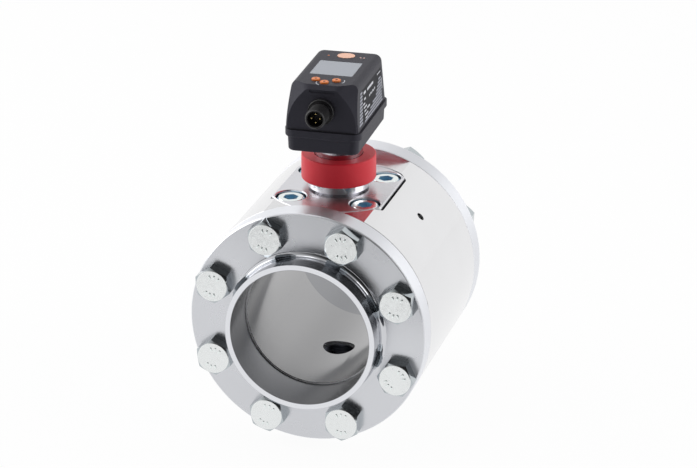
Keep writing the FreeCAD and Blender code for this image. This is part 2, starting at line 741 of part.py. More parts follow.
def sensor_stem():
    spigot_r = SOCKET_CUP_R - THREAD_GAP
    spigot_z = SOCKET_CUP_Z + SEAL_GAP
    flange_r = COLLAR_BORE_R - PROBE_GAP
    shoulder = HEAD_Z0 - SWIVEL_GAP
    stem = turned([
        (WIRE_R, spigot_z),
        (spigot_r, spigot_z),
        (spigot_r, SOCKET_TOP),
        (flange_r, SOCKET_TOP),
        (flange_r, STEM_FLANGE_Z1),
        (STEM_R, STEM_FLANGE_Z1),
        (STEM_R, shoulder - STEM_CHAMFER),
        (STEM_R - STEM_CHAMFER, shoulder),
        (PIVOT_R, shoulder),
        (PIVOT_R, FLOOR_Z + PIVOT_RISE),
        (WIRE_R, FLOOR_Z + PIVOT_RISE),
    ])
    cuts = [stem_seal(SEAL_GAP), swivel_seal(SEAL_GAP)]
    clip_low = FLOOR_Z + SWIVEL_GAP - SEAL_GAP
    cuts.append(ring(PIVOT_R - CLIP_BITE - THREAD_GAP, CLIP_R, clip_low, clip_low + CLIP_T + 2 * SEAL_GAP))
    cuts.append(cyl_z(PROBE_R + THREAD_GAP, spigot_z, spigot_z + PROBE_SEAT))
    for cut in cuts:
        stem = stem.cut(cut)
    return stem


def probe_low_z():
    return PROBE_TIP_Z + PIN_LEN + PROBE_CAP_T


def probe_tube():
    top = SOCKET_CUP_Z + SEAL_GAP + PROBE_SEAT
    return ring(PROBE_R - PROBE_WALL, PROBE_R, probe_low_z(), top)


def pin_spots():
    return [-PIN_SPREAD, PIN_SPREAD]


def probe_tip():
    low = probe_low_z() - PROBE_CAP_T
    plug_r = PROBE_R - PROBE_WALL - THREAD_GAP
    cap = cyl_z(PROBE_R, low, probe_low_z())
    cap = cap.fuse(cyl_z(plug_r, probe_low_z(), probe_low_z() + PROBE_CAP_PLUG))
    for x in pin_spots():
        cap = cap.cut(cyl_z(PIN_R + THREAD_GAP, low, low + PIN_HOLD, x, 0))
    return cap


def probe_pins():
    low = probe_low_z() - PROBE_CAP_T
    pins = []
    for x in pin_spots():
        pin = turned([
            (0, PROBE_TIP_Z),
            (PIN_R, PROBE_TIP_Z),
            (PIN_R, low + PIN_HOLD),
            (0, low + PIN_HOLD),
        ], {1: PIN_R - PIN_FLAT_R})
        pin.translate(Vector(x, 0, 0))
        pins.append(pin)
    return group(pins)


# Bottom port
def port_washer():
    floor = spot_face_z()
    return ring(PORT_R + SEAL_GAP, PLUG_COLLAR_R, floor - PORT_WASHER_T, floor)


def port_plug():
    collar_top = spot_face_z() - PORT_WASHER_T
    collar_low = collar_top - PLUG_COLLAR_H
    plug = cyl_z(PLUG_COLLAR_R, collar_low, collar_top)
    plug = plug.fuse(cyl_z(PORT_R - THREAD_GAP, collar_top, spot_face_z() + PLUG_LEN))
    return plug.cut(hexagon(PLUG_KEY, collar_low, collar_low + PLUG_KEY_DEPTH))


# Head base, gasket and cover
def head_base():
    low = rounded_rectangle(BASE_HALF_W_LOW, -HEAD_FRONT, HEAD_REAR, HEAD_CORNER, HEAD_Z0)
    high = rounded_rectangle(BASE_HALF_W, -HEAD_FRONT, HEAD_REAR, HEAD_CORNER, BASE_Z1)
    base = Part.makeLoft([low, high], True, True)
    base = base.makeFillet(BASE_EDGE, edges_at_height(base, HEAD_Z0))
    lip_z = BASE_Z1 - BASE_LIP_T
    base = base.fuse(head_lip(lip_z, BASE_Z1))
    tub = inner_slab(BASE_HALF_W_LOW, FLOOR_Z, BASE_Z1)
    pillars = [cyl_z(PILLAR_R, FLOOR_Z, BASE_Z1, x, y) for x, y in BASE_SCREW_SPOTS]
    base = base.cut(tub.cut(group(pillars)))
    posts = [cyl_z(MAIN_POST_R, HEAD_Z0 + BASE_FLOOR / 2, MAIN_Z0, x, y) for x, y in MAIN_POST_SPOTS]
    for post in posts:
        base = base.fuse(post)
    cuts = [cyl_z(PIVOT_R + PIVOT_GAP, HEAD_Z0, FLOOR_Z)]
    head_seat = HEAD_Z0 + BASE_SCREW_SINK + BASE_SCREW_HEAD_H
    for x, y in BASE_SCREW_SPOTS:
        cuts.append(cyl_z(BASE_SCREW_D / 2 + SEAL_GAP, HEAD_Z0, BASE_Z1, x, y))
        cuts.append(cyl_z(BASE_SCREW_HEAD_D / 2 + SEAL_GAP, HEAD_Z0, head_seat, x, y))
    for x, y in MAIN_POST_SPOTS:
        cuts.append(cyl_z(BOARD_SCREW_D / 2 + THREAD_GAP, MAIN_Z0 - BOARD_SCREW_LEN, MAIN_Z0, x, y))
    for cut in cuts:
        base = base.cut(cut)
    return base


def inner_slab(half_w, z0, z1):
    corner = HEAD_CORNER - HEAD_WALL
    return slab(half_w - HEAD_WALL, HEAD_WALL - HEAD_FRONT, HEAD_REAR - HEAD_WALL, corner, z0, z1)


def outer_slab(out, z0, z1):
    return slab(BASE_HALF_W + out, -HEAD_FRONT - out, HEAD_REAR + out, HEAD_CORNER + out, z0, z1)


def head_lip(z0, z1):
    lip = outer_slab(LIP_OUT, z0, z1)
    return lip.makeFillet(BASE_LIP_EDGE, edges_at_height(lip, z0))


def base_gasket():
    outer = outer_slab(LIP_OUT - GASKET_INSET, BASE_Z1, COVER_Z0)
    return outer.cut(inner_slab(BASE_HALF_W, BASE_Z1, COVER_Z0))


def cover_half_width(z):
    return BASE_HALF_W + (COVER_HALF_W_TOP - BASE_HALF_W) * (z - COVER_Z0) / COVER_H


def cover_rear(z):
    return HEAD_REAR + (COVER_REAR_TOP - HEAD_REAR) * (z - COVER_Z0) / COVER_H


def tapered_box(inset, z0):
    """Box with leaning sides and rear, its rear corners and top edges rounded."""
    z1 = COVER_Z1 - inset
    front = inset - HEAD_FRONT
    wires = []
    for z in (z0, z1):
        half_w = cover_half_width(z) - inset
        rear = cover_rear(z) - inset
        wires.append(rounded_rectangle(half_w, front, rear, 0, z))
    box = Part.makeLoft(wires, True, True)
    uprights = [e for e in box.Edges if e.BoundBox.ZLength > (z1 - z0) / 2 and e.CenterOfMass.y > 0]
    box = box.makeFillet(HEAD_CORNER - inset, uprights)
    rims = [e for e in edges_at_height(box, z1) if e.CenterOfMass.y > front + NEAR]
    return box.makeFillet(COVER_ROUND - inset / 2, rims)


def arch_wire(y, grow):
    """Arched outline of the front face at depth y, grown outwards by an even margin."""
    slant = math.radians(ARCH_SLANT)
    across, upward = math.sin(slant), math.cos(slant)
    half_w = ARCH_HALF_W + grow
    top = COVER_Z1 - ARCH_DROP + grow
    reach = across * ARCH_TOP_HALF_W + upward * (COVER_Z1 - ARCH_DROP) + grow
    shoulder_z = (reach - across * half_w) / upward
    top_x = (reach - upward * top) / across
    right = [(half_w, HEAD_Z0), (half_w, shoulder_z), (top_x, top)]
    left = [(-x, z) for x, z in reversed(right)]
    low_round = ARCH_LOW_ROUND + grow
    top_round = ARCH_TOP_ROUND + grow
    radii = [0, low_round, top_round, top_round, low_round, 0]
    return rounded_wire([Vector(x, y, z) for x, z in right + left], radii)


def flare(inset):
    front = inset - HEAD_FRONT
    near = inset * (FLARE_SLOPE - math.sqrt(1 + FLARE_SLOPE ** 2))
    far = near + FLARE_DEPTH * FLARE_SLOPE
    nose = Part.makeLoft([arch_wire(front, near), arch_wire(front + FLARE_DEPTH, far)], True, True)
    wide = BASE_HALF_W + FLARE_DEPTH
    rest = block(-wide, wide, front + FLARE_DEPTH, HEAD_REAR + OVERCUT, HEAD_Z0, COVER_Z1 + FLARE_DEPTH)
    return nose.fuse(rest)


def housing(inset, z0):
    return tapered_box(inset, z0).common(flare(inset))


def badge_plate(gap, z0, z1):
    curve = Part.Ellipse(Vector(0, BADGE_Y, z0), BADGE_HALF_W + gap, BADGE_HALF_L + gap)
    return Part.Face(Part.Wire([curve.toShape()])).extrude(Vector(0, 0, z1 - z0))


def cover_cuts():
    cuts = []
    gap = WINDOW_GAP
    above = COVER_Z1 + OVERCUT
    below = CEILING_Z - OVERCUT
    cuts.append(slab(WINDOW_W / 2 + gap, WINDOW_Y0 - gap, WINDOW_Y1 + gap, WINDOW_CORNER + gap, below, above))
    for x, y in BUTTON_SPOTS.values():
        cuts.append(cyl_z(BUTTON_R + BUTTON_GAP, GUIDE_Z - OVERCUT, above, x, y))
    for x, y in LAMP_SPOTS:
        cuts.append(cyl_z(LAMP_R + THREAD_GAP, below, above, x, y))
    cuts.append(badge_plate(BADGE_GAP, COVER_Z1 - BADGE_SINK, above))
    cuts.append(cyl_y(CONN_R + CONN_WALL_GAP, -HEAD_FRONT - OVERCUT, CONN_INNER_Y + OVERCUT, 0, CONN_Z))
    step_top = COVER_Z1 - ARCH_DROP
    step_y = STEP_DEPTH - HEAD_FRONT
    cuts.append(block(-STEP_HALF_W, STEP_HALF_W, -HEAD_FRONT - OVERCUT, step_y, step_top - STEP_H, step_top))
    for x, y in BASE_SCREW_SPOTS:
        cuts.append(cyl_z(BASE_SCREW_D / 2 + THREAD_GAP, COVER_Z0, COVER_Z0 + BOSS_RISE - THIN_WALL, x, y))
    for x, y in POST_SPOTS:
        deep = BOARD_Z0 + BOARD_SCREW_LEN
        cuts.append(cyl_z(BOARD_SCREW_D / 2 + THREAD_GAP, BOARD_Z1, deep, x, y))
    return cuts


def head_cover():
    outer = housing(0, COVER_Z0)
    cavity = housing(HEAD_WALL, COVER_Z0 - OVERCUT)
    guide_r = BUTTON_R + BUTTON_GAP + GUIDE_WALL
    inner = [cyl_z(PILLAR_R, COVER_Z0, COVER_Z0 + BOSS_RISE, x, y) for x, y in BASE_SCREW_SPOTS]
    inner += [cyl_z(POST_R, BOARD_Z1, COVER_Z1, x, y) for x, y in POST_SPOTS]
    inner += [cyl_z(guide_r, GUIDE_Z, COVER_Z1, x, y) for x, y in BUTTON_SPOTS.values()]
    for boss in inner:
        cavity = cavity.cut(boss)
    cover = outer.cut(cavity)
    for cut in cover_cuts():
        cover = cover.cut(cut)
    return cover


def base_screws():
    seat = HEAD_Z0 + BASE_SCREW_SINK + BASE_SCREW_HEAD_H
    screws = []
    for x, y in BASE_SCREW_SPOTS:
        head = cyl_z(BASE_SCREW_HEAD_D / 2, seat - BASE_SCREW_HEAD_H, seat, x, y)
        screw = head.fuse(cyl_z(BASE_SCREW_D / 2, seat, COVER_Z0 + BASE_SCREW_BITE, x, y))
        face = seat - BASE_SCREW_HEAD_H
        key = hexagon(BASE_SCREW_KEY, face, face + BASE_SCREW_KEY_DEPTH)
        key.translate(Vector(x, y, 0))
        screws.append(screw.cut(key))
    return group(screws)


# Display, boards, lamps and badge
def display_window():
    pane = slab(WINDOW_W / 2, WINDOW_Y0, WINDOW_Y1, WINDOW_CORNER, CEILING_Z, COVER_Z1 - WINDOW_SINK)
    rim_y0 = WINDOW_Y0 - WINDOW_RIM
    rim_y1 = WINDOW_Y1 + WINDOW_RIM
    rim = slab(WINDOW_W / 2 + WINDOW_RIM, rim_y0, rim_y1, WINDOW_CORNER, CEILING_Z - WINDOW_RIM_T, CEILING_Z)
    return pane.fuse(rim)


def display_module():
    half_w = WINDOW_W / 2 + DISPLAY_EDGE
    y0 = WINDOW_Y0 - DISPLAY_EDGE
    y1 = WINDOW_Y1 + DISPLAY_EDGE
    return slab(half_w, y0, y1, WINDOW_CORNER, BOARD_Z1, DISPLAY_Z1)


def display_board():
    shoulder = BOARD_SHOULDER - HEAD_FRONT
    outline = [
        (-BOARD_HALF_W, BOARD_REAR),
        (-BOARD_HALF_W, shoulder),
        (-BOARD_FRONT_HALF_W, -BOARD_FRONT),
        (BOARD_FRONT_HALF_W, -BOARD_FRONT),
        (BOARD_HALF_W, shoulder),
        (BOARD_HALF_W, BOARD_REAR),
    ]
    wire = rounded_wire([Vector(x, y, BOARD_Z0) for x, y in outline], [0] * len(outline))
    board = Part.Face(wire).extrude(Vector(0, 0, BOARD_T))
    holes = [cyl_z(BOARD_SCREW_D / 2 + SEAL_GAP, BOARD_Z0, BOARD_Z1, x, y) for x, y in POST_SPOTS]
    return board.cut(group(holes))


def main_board():
    board = block(-MAIN_BOARD_HALF_W, MAIN_BOARD_HALF_W, MAIN_BOARD_Y0, MAIN_BOARD_Y1, MAIN_Z0, MAIN_Z1)
    holes = [cyl_z(BOARD_SCREW_D / 2 + SEAL_GAP, MAIN_Z0, MAIN_Z1, x, y) for x, y in MAIN_POST_SPOTS]
    return board.cut(group(holes))


def board_header():
    return block(-HEADER_HALF_W, HEADER_HALF_W, HEADER_Y1 - HEADER_L, HEADER_Y1, MAIN_Z1, BOARD_Z0)


def board_screws():
    screws = []
    head_r = BOARD_SCREW_HEAD_D / 2
    shank_r = BOARD_SCREW_D / 2
    reach = BOARD_SCREW_LEN - THIN_WALL
    for x, y in POST_SPOTS:
        head = cyl_z(head_r, BOARD_Z0 - BOARD_SCREW_HEAD_H, BOARD_Z0, x, y)
        screws.append(head.fuse(cyl_z(shank_r, BOARD_Z0, BOARD_Z0 + reach, x, y)))
    for x, y in MAIN_POST_SPOTS:
        head = cyl_z(head_r, MAIN_Z1, MAIN_Z1 + BOARD_SCREW_HEAD_H, x, y)
        screws.append(head.fuse(cyl_z(shank_r, MAIN_Z1 - reach, MAIN_Z1, x, y)))
    return group(screws)


def status_leds():
    half = LED_W / 2
    leds = []
    for x, y in LAMP_SPOTS:
        leds.append(block(x - half, x + half, y - half, y + half, BOARD_Z1, BOARD_Z1 + LED_H))
    return group(leds)


def light_guides():
    return group([cyl_z(LAMP_R, BOARD_Z1 + LED_H, COVER_Z1 + LAMP_RAISE, x, y) for x, y in LAMP_SPOTS])


def badge():
    low = COVER_Z1 - BADGE_SINK
    return badge_plate(0, low, low + BADGE_T)


# Buttons and switches
def push_button(x, y):
    top = COVER_Z1 + BUTTON_RAISE
    flange_r = BUTTON_R + BUTTON_FLANGE
    button = turned([
        (0, BUTTON_Z0),
        (flange_r, BUTTON_Z0),
        (flange_r, BUTTON_FLANGE_Z1),
        (BUTTON_R, BUTTON_FLANGE_Z1),
        (BUTTON_R, top),
        (BUTTON_DIMPLE_R, top),
        (0, top - BUTTON_DIMPLE),
    ], {4: BUTTON_EDGE})
    button.translate(Vector(x, y, 0))
    return button


def tact_switches():
    half = SWITCH_W / 2
    body_z = SWITCH_Z1 - SWITCH_PLUNGER_H
    switches = []
    for x, y in BUTTON_SPOTS.values():
        body = block(x - half, x + half, y - half, y + half, BOARD_Z1, body_z)
        switches.append(body.fuse(cyl_z(SWITCH_PLUNGER_R, body_z, SWITCH_Z1, x, y)))
    return group(switches)


# Connector, about an axis along Y
def conn_turned(profile):
    shape = turned(profile, None, ALONG)
    shape.translate(Vector(0, 0, CONN_Z))
    return shape


def conn_seal(gap):
    back = -HEAD_FRONT
    front = back - CONN_SEAL_DEPTH - gap
    inner = CONN_SEAL_R - CONN_SEAL_W / 2 - gap
    outer = CONN_SEAL_R + CONN_SEAL_W / 2 + gap
    return conn_turned([(inner, front), (outer, front), (outer, back), (inner, back)])


def connector_body():
    flange_y = -(HEAD_FRONT + CONN_FLANGE_T)
    shell = conn_turned([
        (CONN_MOUTH_R, CONN_TIP_Y),
        (CONN_R - CONN_EDGE, CONN_TIP_Y),
        (CONN_R, CONN_TIP_Y + CONN_EDGE),
        (CONN_R, flange_y),
        (CONN_FLANGE_R - CONN_EDGE, flange_y),
        (CONN_FLANGE_R, flange_y + CONN_EDGE),
        (CONN_FLANGE_R, -HEAD_FRONT),
        (CONN_R, -HEAD_FRONT),
        (CONN_R, CONN_TAIL_Y),
        (CONN_MOUTH_R, CONN_TAIL_Y),
    ])
    return shell.cut(conn_seal(SEAL_GAP))


def conn_pin_spots():
    spots = []
    for k in range(CONN_PIN_COUNT):
        angle = math.radians(360.0 / CONN_PIN_COUNT * k)
        spots.append((CONN_PIN_CIRCLE * math.sin(angle), CONN_Z + CONN_PIN_CIRCLE * math.cos(angle)))
    return spots


def connector_insert():
    insert = cyl_y(CONN_MOUTH_R - CONN_INSERT_GAP, CONN_MOUTH_Y, CONN_TAIL_Y, 0, CONN_Z)
    holes = [cyl_y(CONN_PIN_R + THREAD_GAP, CONN_MOUTH_Y, CONN_TAIL_Y, x, z) for x, z in conn_pin_spots()]
    return insert.cut(group(holes))


def connector_pins():
    y0 = CONN_MOUTH_Y - CONN_PIN_LEN
    pins = []
    for x, z in conn_pin_spots():
        pin = turned([
            (0, y0),
            (CONN_PIN_R, y0),
            (CONN_PIN_R, CONN_TAIL_Y + CONN_PIN_TAIL),
            (0, CONN_TAIL_Y + CONN_PIN_TAIL),
        ], {1: CONN_PIN_R - CONN_PIN_FLAT_R}, ALONG)
        pin.translate(Vector(x, 0, z))
        pins.append(pin)
    return group(pins)


def connector_nut():
    nut = hexagon(CONN_NUT_FLATS, 0, CONN_NUT_T, CONN_NUT_TURN)
    nut = nut.cut(cyl_z(CONN_R + THREAD_GAP, 0, CONN_NUT_T))
    nut.rotate(CENTRE, ACROSS, -90)
    nut.translate(Vector(0, CONN_INNER_Y, CONN_Z))
    return nut


def build():
    inlet_flange = weld_flange()
    inlet_bolts = flange_bolts()
    inlet_seal = seal_ring_y(0)
    pieces = {
        "meter_body": meter_body(),
        "inlet_flange": inlet_flange,
        "outlet_flange": at_outlet(inlet_flange),
        "inlet_bolts": inlet_bolts,
        "outlet_bolts": at_outlet(inlet_bolts),
        "inlet_seal": inlet_seal,
        "outlet_seal": at_outlet(inlet_seal),
    }
    for make in (sensor_plate, plate_screws, union_socket, union_ring, sensor_stem, probe_tube, probe_tip,
                 probe_pins, port_plug, port_washer):
        pieces[make.__name__] = on_sensor(make())
    for make in (plate_seal, stem_seal, swivel_seal, swivel_clip):
        pieces[make.__name__] = on_sensor(make(0))
    for make in (head_base, base_gasket, head_cover, base_screws, display_window, display_module, display_board,
                 main_board, board_header, board_screws, status_leds, light_guides, badge, tact_switches,
                 connector_body, connector_insert, connector_pins, connector_nut):
        pieces[make.__name__] = in_head(make())
    pieces["connector_seal"] = in_head(conn_seal(0))
    for name, (x, y) in BUTTON_SPOTS.items():
        pieces[name] = in_head(push_button(x, y))
    return pieces


os.makedirs("parts", exist_ok=True)
for node, shape in build().items():
    shape.exportStep("parts/" + node + ".step")
    print(node, len(shape.Solids), "solid", shape.isValid(), round(shape.Volume, 1))
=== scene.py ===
# %% [markdown]
# # A compressed air flow meter
# The meter is a thick steel pipe section between two bolted flanges, with a display head on a
# short stem. The solid model already holds every real part. This lesson sets the camera and a soft
# studio, gives each part a finish made of nodes, and adds the small details that a machinist or a
# printer would add last.

# %% Load the solid model
import bmesh
import bpy
import json
import math
from mathutils import Matrix, Vector


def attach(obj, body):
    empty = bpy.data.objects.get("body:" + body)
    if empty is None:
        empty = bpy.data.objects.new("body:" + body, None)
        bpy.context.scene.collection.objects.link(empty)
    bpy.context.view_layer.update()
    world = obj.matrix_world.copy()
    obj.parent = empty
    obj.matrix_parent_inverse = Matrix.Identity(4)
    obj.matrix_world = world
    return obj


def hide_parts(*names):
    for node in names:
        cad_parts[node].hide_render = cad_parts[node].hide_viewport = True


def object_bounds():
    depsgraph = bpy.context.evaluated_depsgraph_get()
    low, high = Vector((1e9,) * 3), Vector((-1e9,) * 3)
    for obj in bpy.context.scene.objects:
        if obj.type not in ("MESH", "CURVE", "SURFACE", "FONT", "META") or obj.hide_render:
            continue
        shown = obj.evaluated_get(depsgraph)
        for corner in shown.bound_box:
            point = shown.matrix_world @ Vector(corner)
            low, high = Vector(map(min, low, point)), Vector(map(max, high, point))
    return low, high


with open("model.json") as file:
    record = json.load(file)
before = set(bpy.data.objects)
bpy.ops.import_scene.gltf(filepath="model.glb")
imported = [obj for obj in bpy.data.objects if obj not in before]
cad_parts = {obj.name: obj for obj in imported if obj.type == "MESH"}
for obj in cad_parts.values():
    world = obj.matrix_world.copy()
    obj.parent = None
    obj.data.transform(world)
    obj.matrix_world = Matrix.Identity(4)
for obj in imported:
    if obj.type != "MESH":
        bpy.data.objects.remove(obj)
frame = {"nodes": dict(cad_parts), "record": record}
nodes = frame["nodes"]
cad_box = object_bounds()
MM = 0.001
PART_LENGTH = 158.6 * MM
SENSOR_Y = 79.3 * MM
scene = bpy.context.scene
scene.view_settings.view_transform = "Standard"
print("parts loaded:", len(nodes), "box", cad_box)

# %% [markdown]
# ## The camera
# A product photo is taken from far away with a long lens, so that parallel edges stay almost
# parallel. The camera is set by the angle round the part, the angle above the horizon and the
# distance, and is then moved sideways and upwards so that the part sits in the picture as it does
# in the photograph.

# %% Camera
AZIMUTH = math.radians(16.38)
ELEVATION = math.radians(21.92)
ROLL = math.radians(0.01)
DISTANCE = 1667.56 * MM
SIDE_STEP = 6.2 * MM
UP_STEP = 31.36 * MM
SENSOR_WIDTH = 36.0
PICTURE_WIDTH = 697
FOCAL_PIXELS = 2814.4
CLIP_END = 50
AIM = Vector((0, 77.5 * MM, 0))


def camera_directions():
    """Right, up and outward directions of the camera, with its small roll."""
    level = math.cos(ELEVATION)
    out = Vector((math.sin(AZIMUTH) * level, -math.cos(AZIMUTH) * level, math.sin(ELEVATION)))
    right = (-out).cross(Vector((0, 0, 1))).normalized()
    up = right.cross(-out)
    rolled_right = right * math.cos(ROLL) + up * math.sin(ROLL)
    rolled_up = up * math.cos(ROLL) - right * math.sin(ROLL)
    return rolled_right, rolled_up, out


def place_camera():
    right, up, out = camera_directions()
    data = bpy.data.cameras.new("camera")
    data.sensor_width = SENSOR_WIDTH
    data.lens = FOCAL_PIXELS * SENSOR_WIDTH / PICTURE_WIDTH
    data.clip_end = CLIP_END
    camera = bpy.data.objects.new("camera", data)
    scene.collection.objects.link(camera)
    turn = Matrix((right, up, out)).transposed().to_4x4()
    place = AIM + out * DISTANCE + right * SIDE_STEP + up * UP_STEP
    camera.matrix_world = Matrix.Translation(place) @ turn
    scene.camera = camera
    return camera


camera = place_camera()
print("lens", round(camera.data.lens, 1), "mm")

# %% [markdown]
# ## Node helpers
# A node tree reads best when each line makes one node and says what feeds it. The first helper
# makes a node, sets the plain values of its inputs and links the ones that come from other nodes.
# The others are short names for the kinds of node that come back most often.

# %% Node helpers
COLOR_A, COLOR_B, COLOR_OUT = 6, 7, 2


def node(tree, kind, inputs=None, **settings):
    made = tree.nodes.new(kind)
    for key, value in settings.items():
        setattr(made, key, value)
    for key, value in (inputs or {}).items():
        if isinstance(value, bpy.types.NodeSocket):
            tree.links.new(value, made.inputs[key])
        else:
            made.inputs[key].default_value = value
    return made


def calc(tree, operation, *values):
    return node(tree, "ShaderNodeMath", dict(enumerate(values)), operation=operation).outputs[0]


def vector_calc(tree, operation, *values):
    made = node(tree, "ShaderNodeVectorMath", dict(enumerate(values)), operation=operation)
    return made.outputs


def map_range(tree, value, low, high, to_low, to_high, **settings):
    inputs = dict(enumerate((value, low, high, to_low, to_high)))
    return node(tree, "ShaderNodeMapRange", inputs, **settings).outputs[0]


def mix_color(tree, share, first, second, blend="MIX"):
    inputs = {0: share, COLOR_A: first, COLOR_B: second}
    made = node(tree, "ShaderNodeMix", inputs, data_type="RGBA", blend_type=blend)
    return made.outputs[COLOR_OUT]


def grey_steps(tree, factor, stops):
    """Ramp that jumps from one grey to the next at each stop."""
    made = node(tree, "ShaderNodeValToRGB", {"Fac": factor})
    made.color_ramp.interpolation = "CONSTANT"
    elements = made.color_ramp.elements
    while len(elements) < len(stops):
        elements.new(1.0)
    for element, (position, grey) in zip(elements, stops):
        element.position = position
        element.color = (grey, grey, grey, 1)
    return made.outputs["Color"]


def between(tree, spot, axis, low, high):
    """1 where the coordinate along an axis lies between two levels, 0 elsewhere."""
    place = node(tree, "ShaderNodeSeparateXYZ", {0: spot}).outputs[axis]
    return calc(tree, "COMPARE", place, (low + high) / 2, (high - low) / 2)


def new_group(name, inputs, outputs):
    group = bpy.data.node_groups.new(name, "ShaderNodeTree")
    for label, kind, default in inputs:
        socket = group.interface.new_socket(label, in_out="INPUT", socket_type=kind)
        if default is not None:
            socket.default_value = default
    for label, kind in outputs:
        group.interface.new_socket(label, in_out="OUTPUT", socket_type=kind)
    start = group.nodes.new("NodeGroupInput")
    end = group.nodes.new("NodeGroupOutput")
    return group, start.outputs, end.inputs


def use_group(tree, group, spot, **values):
    made = node(tree, "ShaderNodeGroup", node_tree=group)
    tree.links.new(spot, made.inputs["Vector"])
    for label, value in values.items():
        made.inputs[label].default_value = value
    return made.outputs


# %% [markdown]
# ## The studio
# The photograph is cut out on white. The floor is pale, keeps a little of the part's shadow and
# shows as white to the camera and in reflections. Bright metal shows its surroundings, so the room
# matters more than the lamps: it is white behind, beside and overhead, and dark in front, where the
# camera stands a little to the right. That dark patch gives the neck and the bolts their dark
# sides.
#
# A dark card of two sheets also lies on the floor in front of the part, as a photographer would lay
# one. The camera doesn't see it and it throws no shadow, but the bore and the bright faces mirror
# it. So the light and dark bands on the metal are true reflections, but the darker bolt sides,
# stem, bores and port thread, the key holes and the button dots carry painted shade and painted
# reflection in their colours.

# %% Floor
FLOOR_HALF = 8.0
FLOOR_GAP = 0.2 * MM
PAPER_GREY = (0.86, 0.86, 0.86, 1)
WHITE = (1, 1, 1, 1)
WHITE_SHARE = 0.95


def floor_white():
    """Pale paper that shows as almost pure white to the camera and in mirrors."""
    material = bpy.data.materials.new("floor_white")
    material.use_nodes = True
    tree = material.node_tree
    tree.nodes.clear()
    path = node(tree, "ShaderNodeLightPath").outputs
    seen = calc(tree, "MAXIMUM", path["Is Camera Ray"], path["Is Glossy Ray"])
    seen = calc(tree, "MAXIMUM", seen, path["Is Transmission Ray"])
    share = calc(tree, "MULTIPLY", seen, WHITE_SHARE)
    paper = node(tree, "ShaderNodeBsdfDiffuse", {"Color": PAPER_GREY}).outputs[0]
    white = node(tree, "ShaderNodeEmission", {"Color": WHITE, "Strength": 1.0}).outputs[0]
    mixed = node(tree, "ShaderNodeMixShader", {0: share, 1: paper, 2: white})
    node(tree, "ShaderNodeOutputMaterial", {"Surface": mixed.outputs[0]})
    return material


def stage_object(shape, name, material):
    mesh = bpy.data.meshes.new(name)
    shape.to_mesh(mesh)
    shape.free()
    mesh.materials.append(material)
    item = bpy.data.objects.new(name, mesh)
    scene.collection.objects.link(item)
    return item


def make_floor():
    shape = bmesh.new()
    bmesh.ops.create_grid(shape, x_segments=2, y_segments=2, size=FLOOR_HALF)
    bmesh.ops.translate(shape, verts=shape.verts, vec=(0, 0, cad_box[0][2] - FLOOR_GAP))
    floor = stage_object(shape, "floor", floor_white())


make_floor()
print("floor at", round(cad_box[0][2] - FLOOR_GAP, 4))

# %% Dark card
# Each sheet: left, right, near and far edge, in metres.
CARD_SHEETS = [(0.03, 1.5, -0.20, -1.2), (-0.40, 0.03, -0.40, -1.2)]
CARD_LIFT = 1.0 * MM
CARD_BLACK = (0.02, 0.025, 0.035, 1)
CARD_ROUGH = 0.8


def card_black():
    material = bpy.data.materials.new("card_black")
    material.use_nodes = True
    shader = material.node_tree.nodes["Principled BSDF"]
    shader.inputs["Base Color"].default_value = CARD_BLACK
    shader.inputs["Roughness"].default_value = CARD_ROUGH
    return material


def make_card():
    shape = bmesh.new()
    for left, right, near, far in CARD_SHEETS:
        made = bmesh.ops.create_grid(shape, x_segments=1, y_segments=1, size=0.5)["verts"]
        bmesh.ops.scale(shape, vec=(right - left, near - far, 1.0), verts=made)
        middle = ((left + right) / 2, (near + far) / 2, cad_box[0][2] + CARD_LIFT)
        bmesh.ops.translate(shape, verts=made, vec=middle)
    card = stage_object(shape, "dark_card", card_black())
    card.visible_camera = False
    card.visible_diffuse = False
    card.visible_shadow = False


make_card()
print("card sheets:", len(CARD_SHEETS))

# %% Room and lamps
DARK_SIDE = Vector((0.36, -0.90, 0.22)).normalized()
DARK_EDGE, DARK_FULL, DARK_LEVEL = 0.45, 0.92, 0.03
HIGH_EDGE, HIGH_FULL, HIGH_LEVEL = 0.38, 0.75, 0.6
MIDDLE = Vector((0, SENSOR_Y, 0.03))
# Each lamp: place, side of its square, watts.
LAMPS = {
    "lamp_above": ((-0.35, 0.30, 1.2), 0.9, 4.0),
    "lamp_left": ((-1.5, 0.10, 0.7), 1.2, 8.0),
    "lamp_right": ((1.5, 0.35, 0.7), 1.2, 8.0),
}


def make_world():
    """White room with a soft dark patch on one side and a dimmer ceiling."""
    world = bpy.data.worlds.new("studio")
    world.use_nodes = True
    tree = world.node_tree
    tree.nodes.clear()
    toward = node(tree, "ShaderNodeTexCoord").outputs["Generated"]
    height = node(tree, "ShaderNodeSeparateXYZ", {0: toward}).outputs["Z"]
    near = vector_calc(tree, "DOT_PRODUCT", toward, DARK_SIDE)["Value"]
    front = map_range(tree, near, DARK_EDGE, DARK_FULL, 1.0, DARK_LEVEL,
                      interpolation_type="SMOOTHSTEP")
    ceiling = map_range(tree, height, HIGH_EDGE, HIGH_FULL, 1.0, HIGH_LEVEL)
    level = calc(tree, "MULTIPLY", front, ceiling)
    back = node(tree, "ShaderNodeBackground", {"Color": WHITE, "Strength": level})
    node(tree, "ShaderNodeOutputWorld", {"Surface": back.outputs[0]})
    scene.world = world


def area_lamp(name, place, side, watts):
    data = bpy.data.lights.new(name, "AREA")
    data.shape = "RECTANGLE"
    data.size = data.size_y = side
    data.energy = watts
    lamp = bpy.data.objects.new(name, data)
    scene.collection.objects.link(lamp)
    lamp.location = place
    lamp.rotation_euler = (MIDDLE - Vector(place)).to_track_quat("-Z", "Y").to_euler()


make_world()
for name, (place, side, watts) in LAMPS.items():
    area_lamp(name, place, side, watts)
print("lamps", list(LAMPS))

